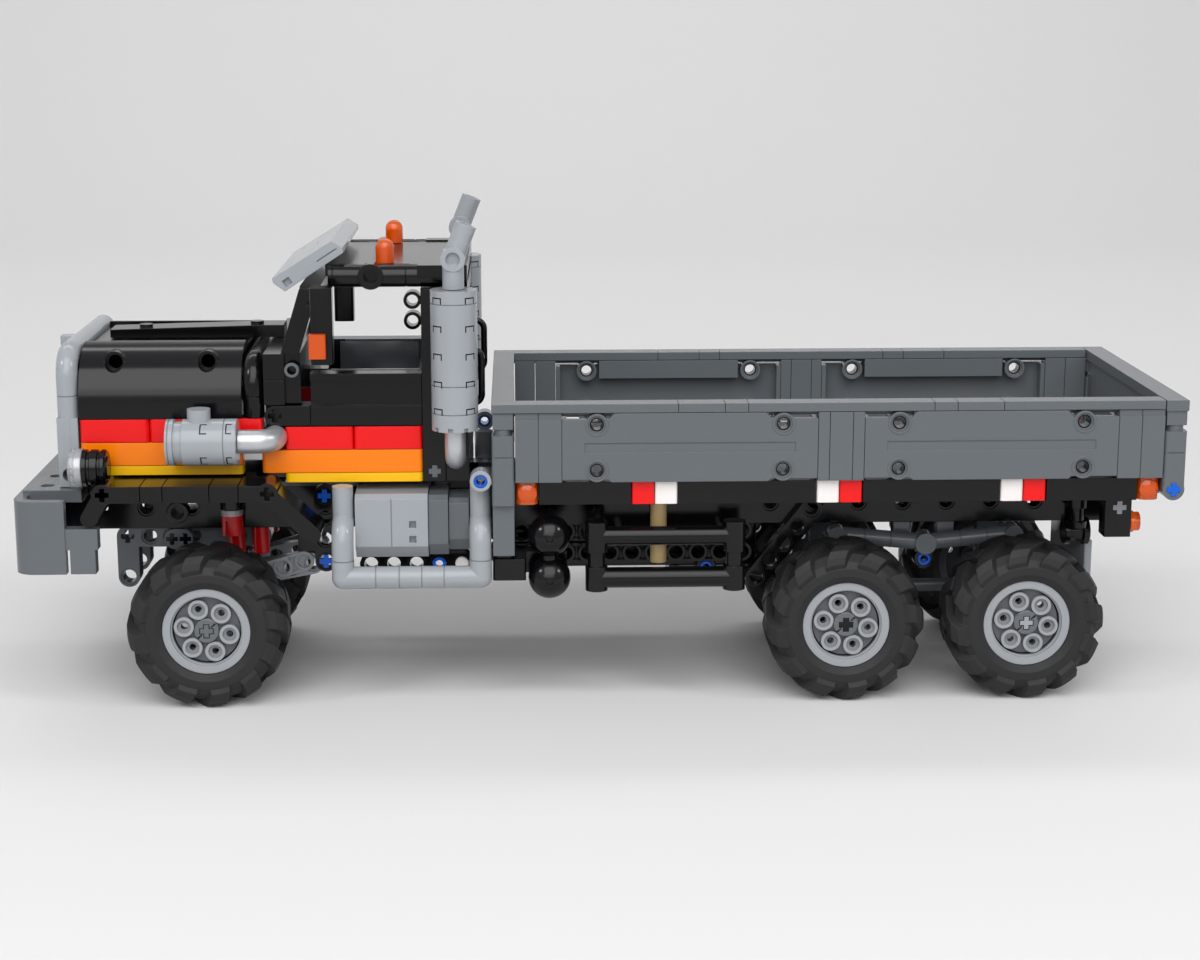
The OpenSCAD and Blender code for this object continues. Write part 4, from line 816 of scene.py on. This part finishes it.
def studio_paper():
    material = bpy.data.materials.new("studio paper")
    material.use_nodes = True
    tree = material.node_tree
    shader = tree.nodes["Principled BSDF"]
    place = tree.nodes.new("ShaderNodeTexCoord").outputs["Object"]
    split = tree.nodes.new("ShaderNodeSeparateXYZ")
    tree.links.new(place, split.inputs["Vector"])
    # painted shade: the paper's colour darkens towards the viewer
    painted_falloff = remap(tree, split.outputs["Y"], NEAR_Y, FAR_Y, 0.0, 1.0)
    tint = blend_colours(tree, screen_colour(*NEAR_PAPER_SHADE), screen_colour(*FAR_PAPER), painted_falloff)
    tree.links.new(tint, shader.inputs["Base Color"])
    ahead = remap(tree, split.outputs["Y"], AIR_STARTS, AIR_FULL, 0.0, 1.0)
    sideways = maths(tree, "ABSOLUTE", split.outputs["X"])
    aside = remap(tree, sideways, SIDE_AIR_STARTS, SIDE_AIR_FULL, 0.0, 1.0)
    seen_air = maths(tree, "MULTIPLY", seen_rays(tree), maths(tree, "MAXIMUM", ahead, aside))
    haze = blend_colours(tree, (0, 0, 0, 1), screen_colour(*PALE_AIR), seen_air)
    tree.links.new(haze, shader.inputs["Emission Color"])
    shader.inputs["Emission Strength"].default_value = 1.0
    tree.links.new(remap(tree, noise(tree, place, 40, 3), 0.0, 1.0, 0.75, 0.9), shader.inputs["Roughness"])
    return material


sweep.data.materials.append(studio_paper())
print("paper", sweep.data.materials[0].name)

# %% [markdown]
# One broad softbox above and before the truck does most of the work, a low one behind
# the camera lifts the sides, two small ones put crisp lights on the round black
# pieces, and one washes the paper behind.

# %% Lamps
def softbox(name, place, aim, size, power):
    lamp_data = bpy.data.lights.new(name, "AREA")
    lamp_data.shape = "RECTANGLE"
    lamp_data.size, lamp_data.size_y = size
    lamp_data.energy = power
    holder = bpy.data.objects.new(name, lamp_data)
    holder.location = place
    holder.rotation_euler = (Vector(aim) - Vector(place)).to_track_quat("-Z", "Y").to_euler()
    bpy.context.scene.collection.objects.link(holder)
    return holder


middle = (cad_low + cad_high) / 2
softboxes = [
    softbox("broad softbox", (0.0, -1.0, 1.15), middle, (1.5, 1.1), 16.5),
    softbox("low softbox", (-0.2, -1.9, 0.75), middle, (2.0, 0.5), 7),
    softbox("left softbox", (-1.1, -0.55, 0.95), middle, (0.25, 0.25), 3),
    softbox("right softbox", (1.1, -0.55, 0.95), middle, (0.25, 0.25), 3),
    softbox("paper wash", (0.0, 1.0, 1.7), (0.0, 1.9, 0.0), (2.6, 0.6), 16.5),
]
print("lamps in watts", [box.data.energy for box in softboxes])

# %% [markdown]
# The air round the studio gives a dim, even light that fills the shadows. Where it is
# seen past the paper it is paler, by the same Light Path rule as the paper's glow.

# %% The studio's air
AIR_LIGHT, SEEN_AIR = 0.3, 0.66
AIR_COLOUR = (0.96, 0.97, 1.0, 1)
world = bpy.data.worlds.new("studio air")
world.use_nodes = True
air = world.node_tree.nodes["Background"]
air.inputs["Color"].default_value = AIR_COLOUR
seen = seen_rays(world.node_tree)
strength = maths(world.node_tree, "MULTIPLY_ADD", seen, SEEN_AIR - AIR_LIGHT, AIR_LIGHT)
world.node_tree.links.new(strength, air.inputs["Strength"])
bpy.context.scene.world = world
bpy.context.scene.view_settings.view_transform = "Standard"
print("air", AIR_LIGHT, "seen as", SEEN_AIR)

# %% [markdown]
# The camera was found by fitting the bed's corners, the wheels and the pin holes
# of the photograph to the 8 mm grid, so the render can be laid over the photograph.

# %% The camera
PHOTO_WIDTH = 1200
FOCAL_PIXELS = 2262.2
CAMERA_X, CAMERA_Y, CAMERA_Z = -29.4, -817.7, 246.6
CAMERA_DIP, CAMERA_TURN = 12.23, -2.15
view = bpy.data.cameras.new("photo camera")
view.sensor_width = 36
view.lens = view.sensor_width * FOCAL_PIXELS / PHOTO_WIDTH
camera = bpy.data.objects.new("photo camera", view)
camera.location = (CAMERA_X * MM, CAMERA_Y * MM, CAMERA_Z * MM)
camera.rotation_euler = (radians(90 - CAMERA_DIP), 0, radians(CAMERA_TURN))
bpy.context.scene.collection.objects.link(camera)
bpy.context.scene.camera = camera
print("lens", round(view.lens, 1))

# %% [markdown]
# Last, the box of the whole model is measured, to lay it beside the CAD box.

low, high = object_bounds()
print("visual box", [round(v, 4) for v in high - low])
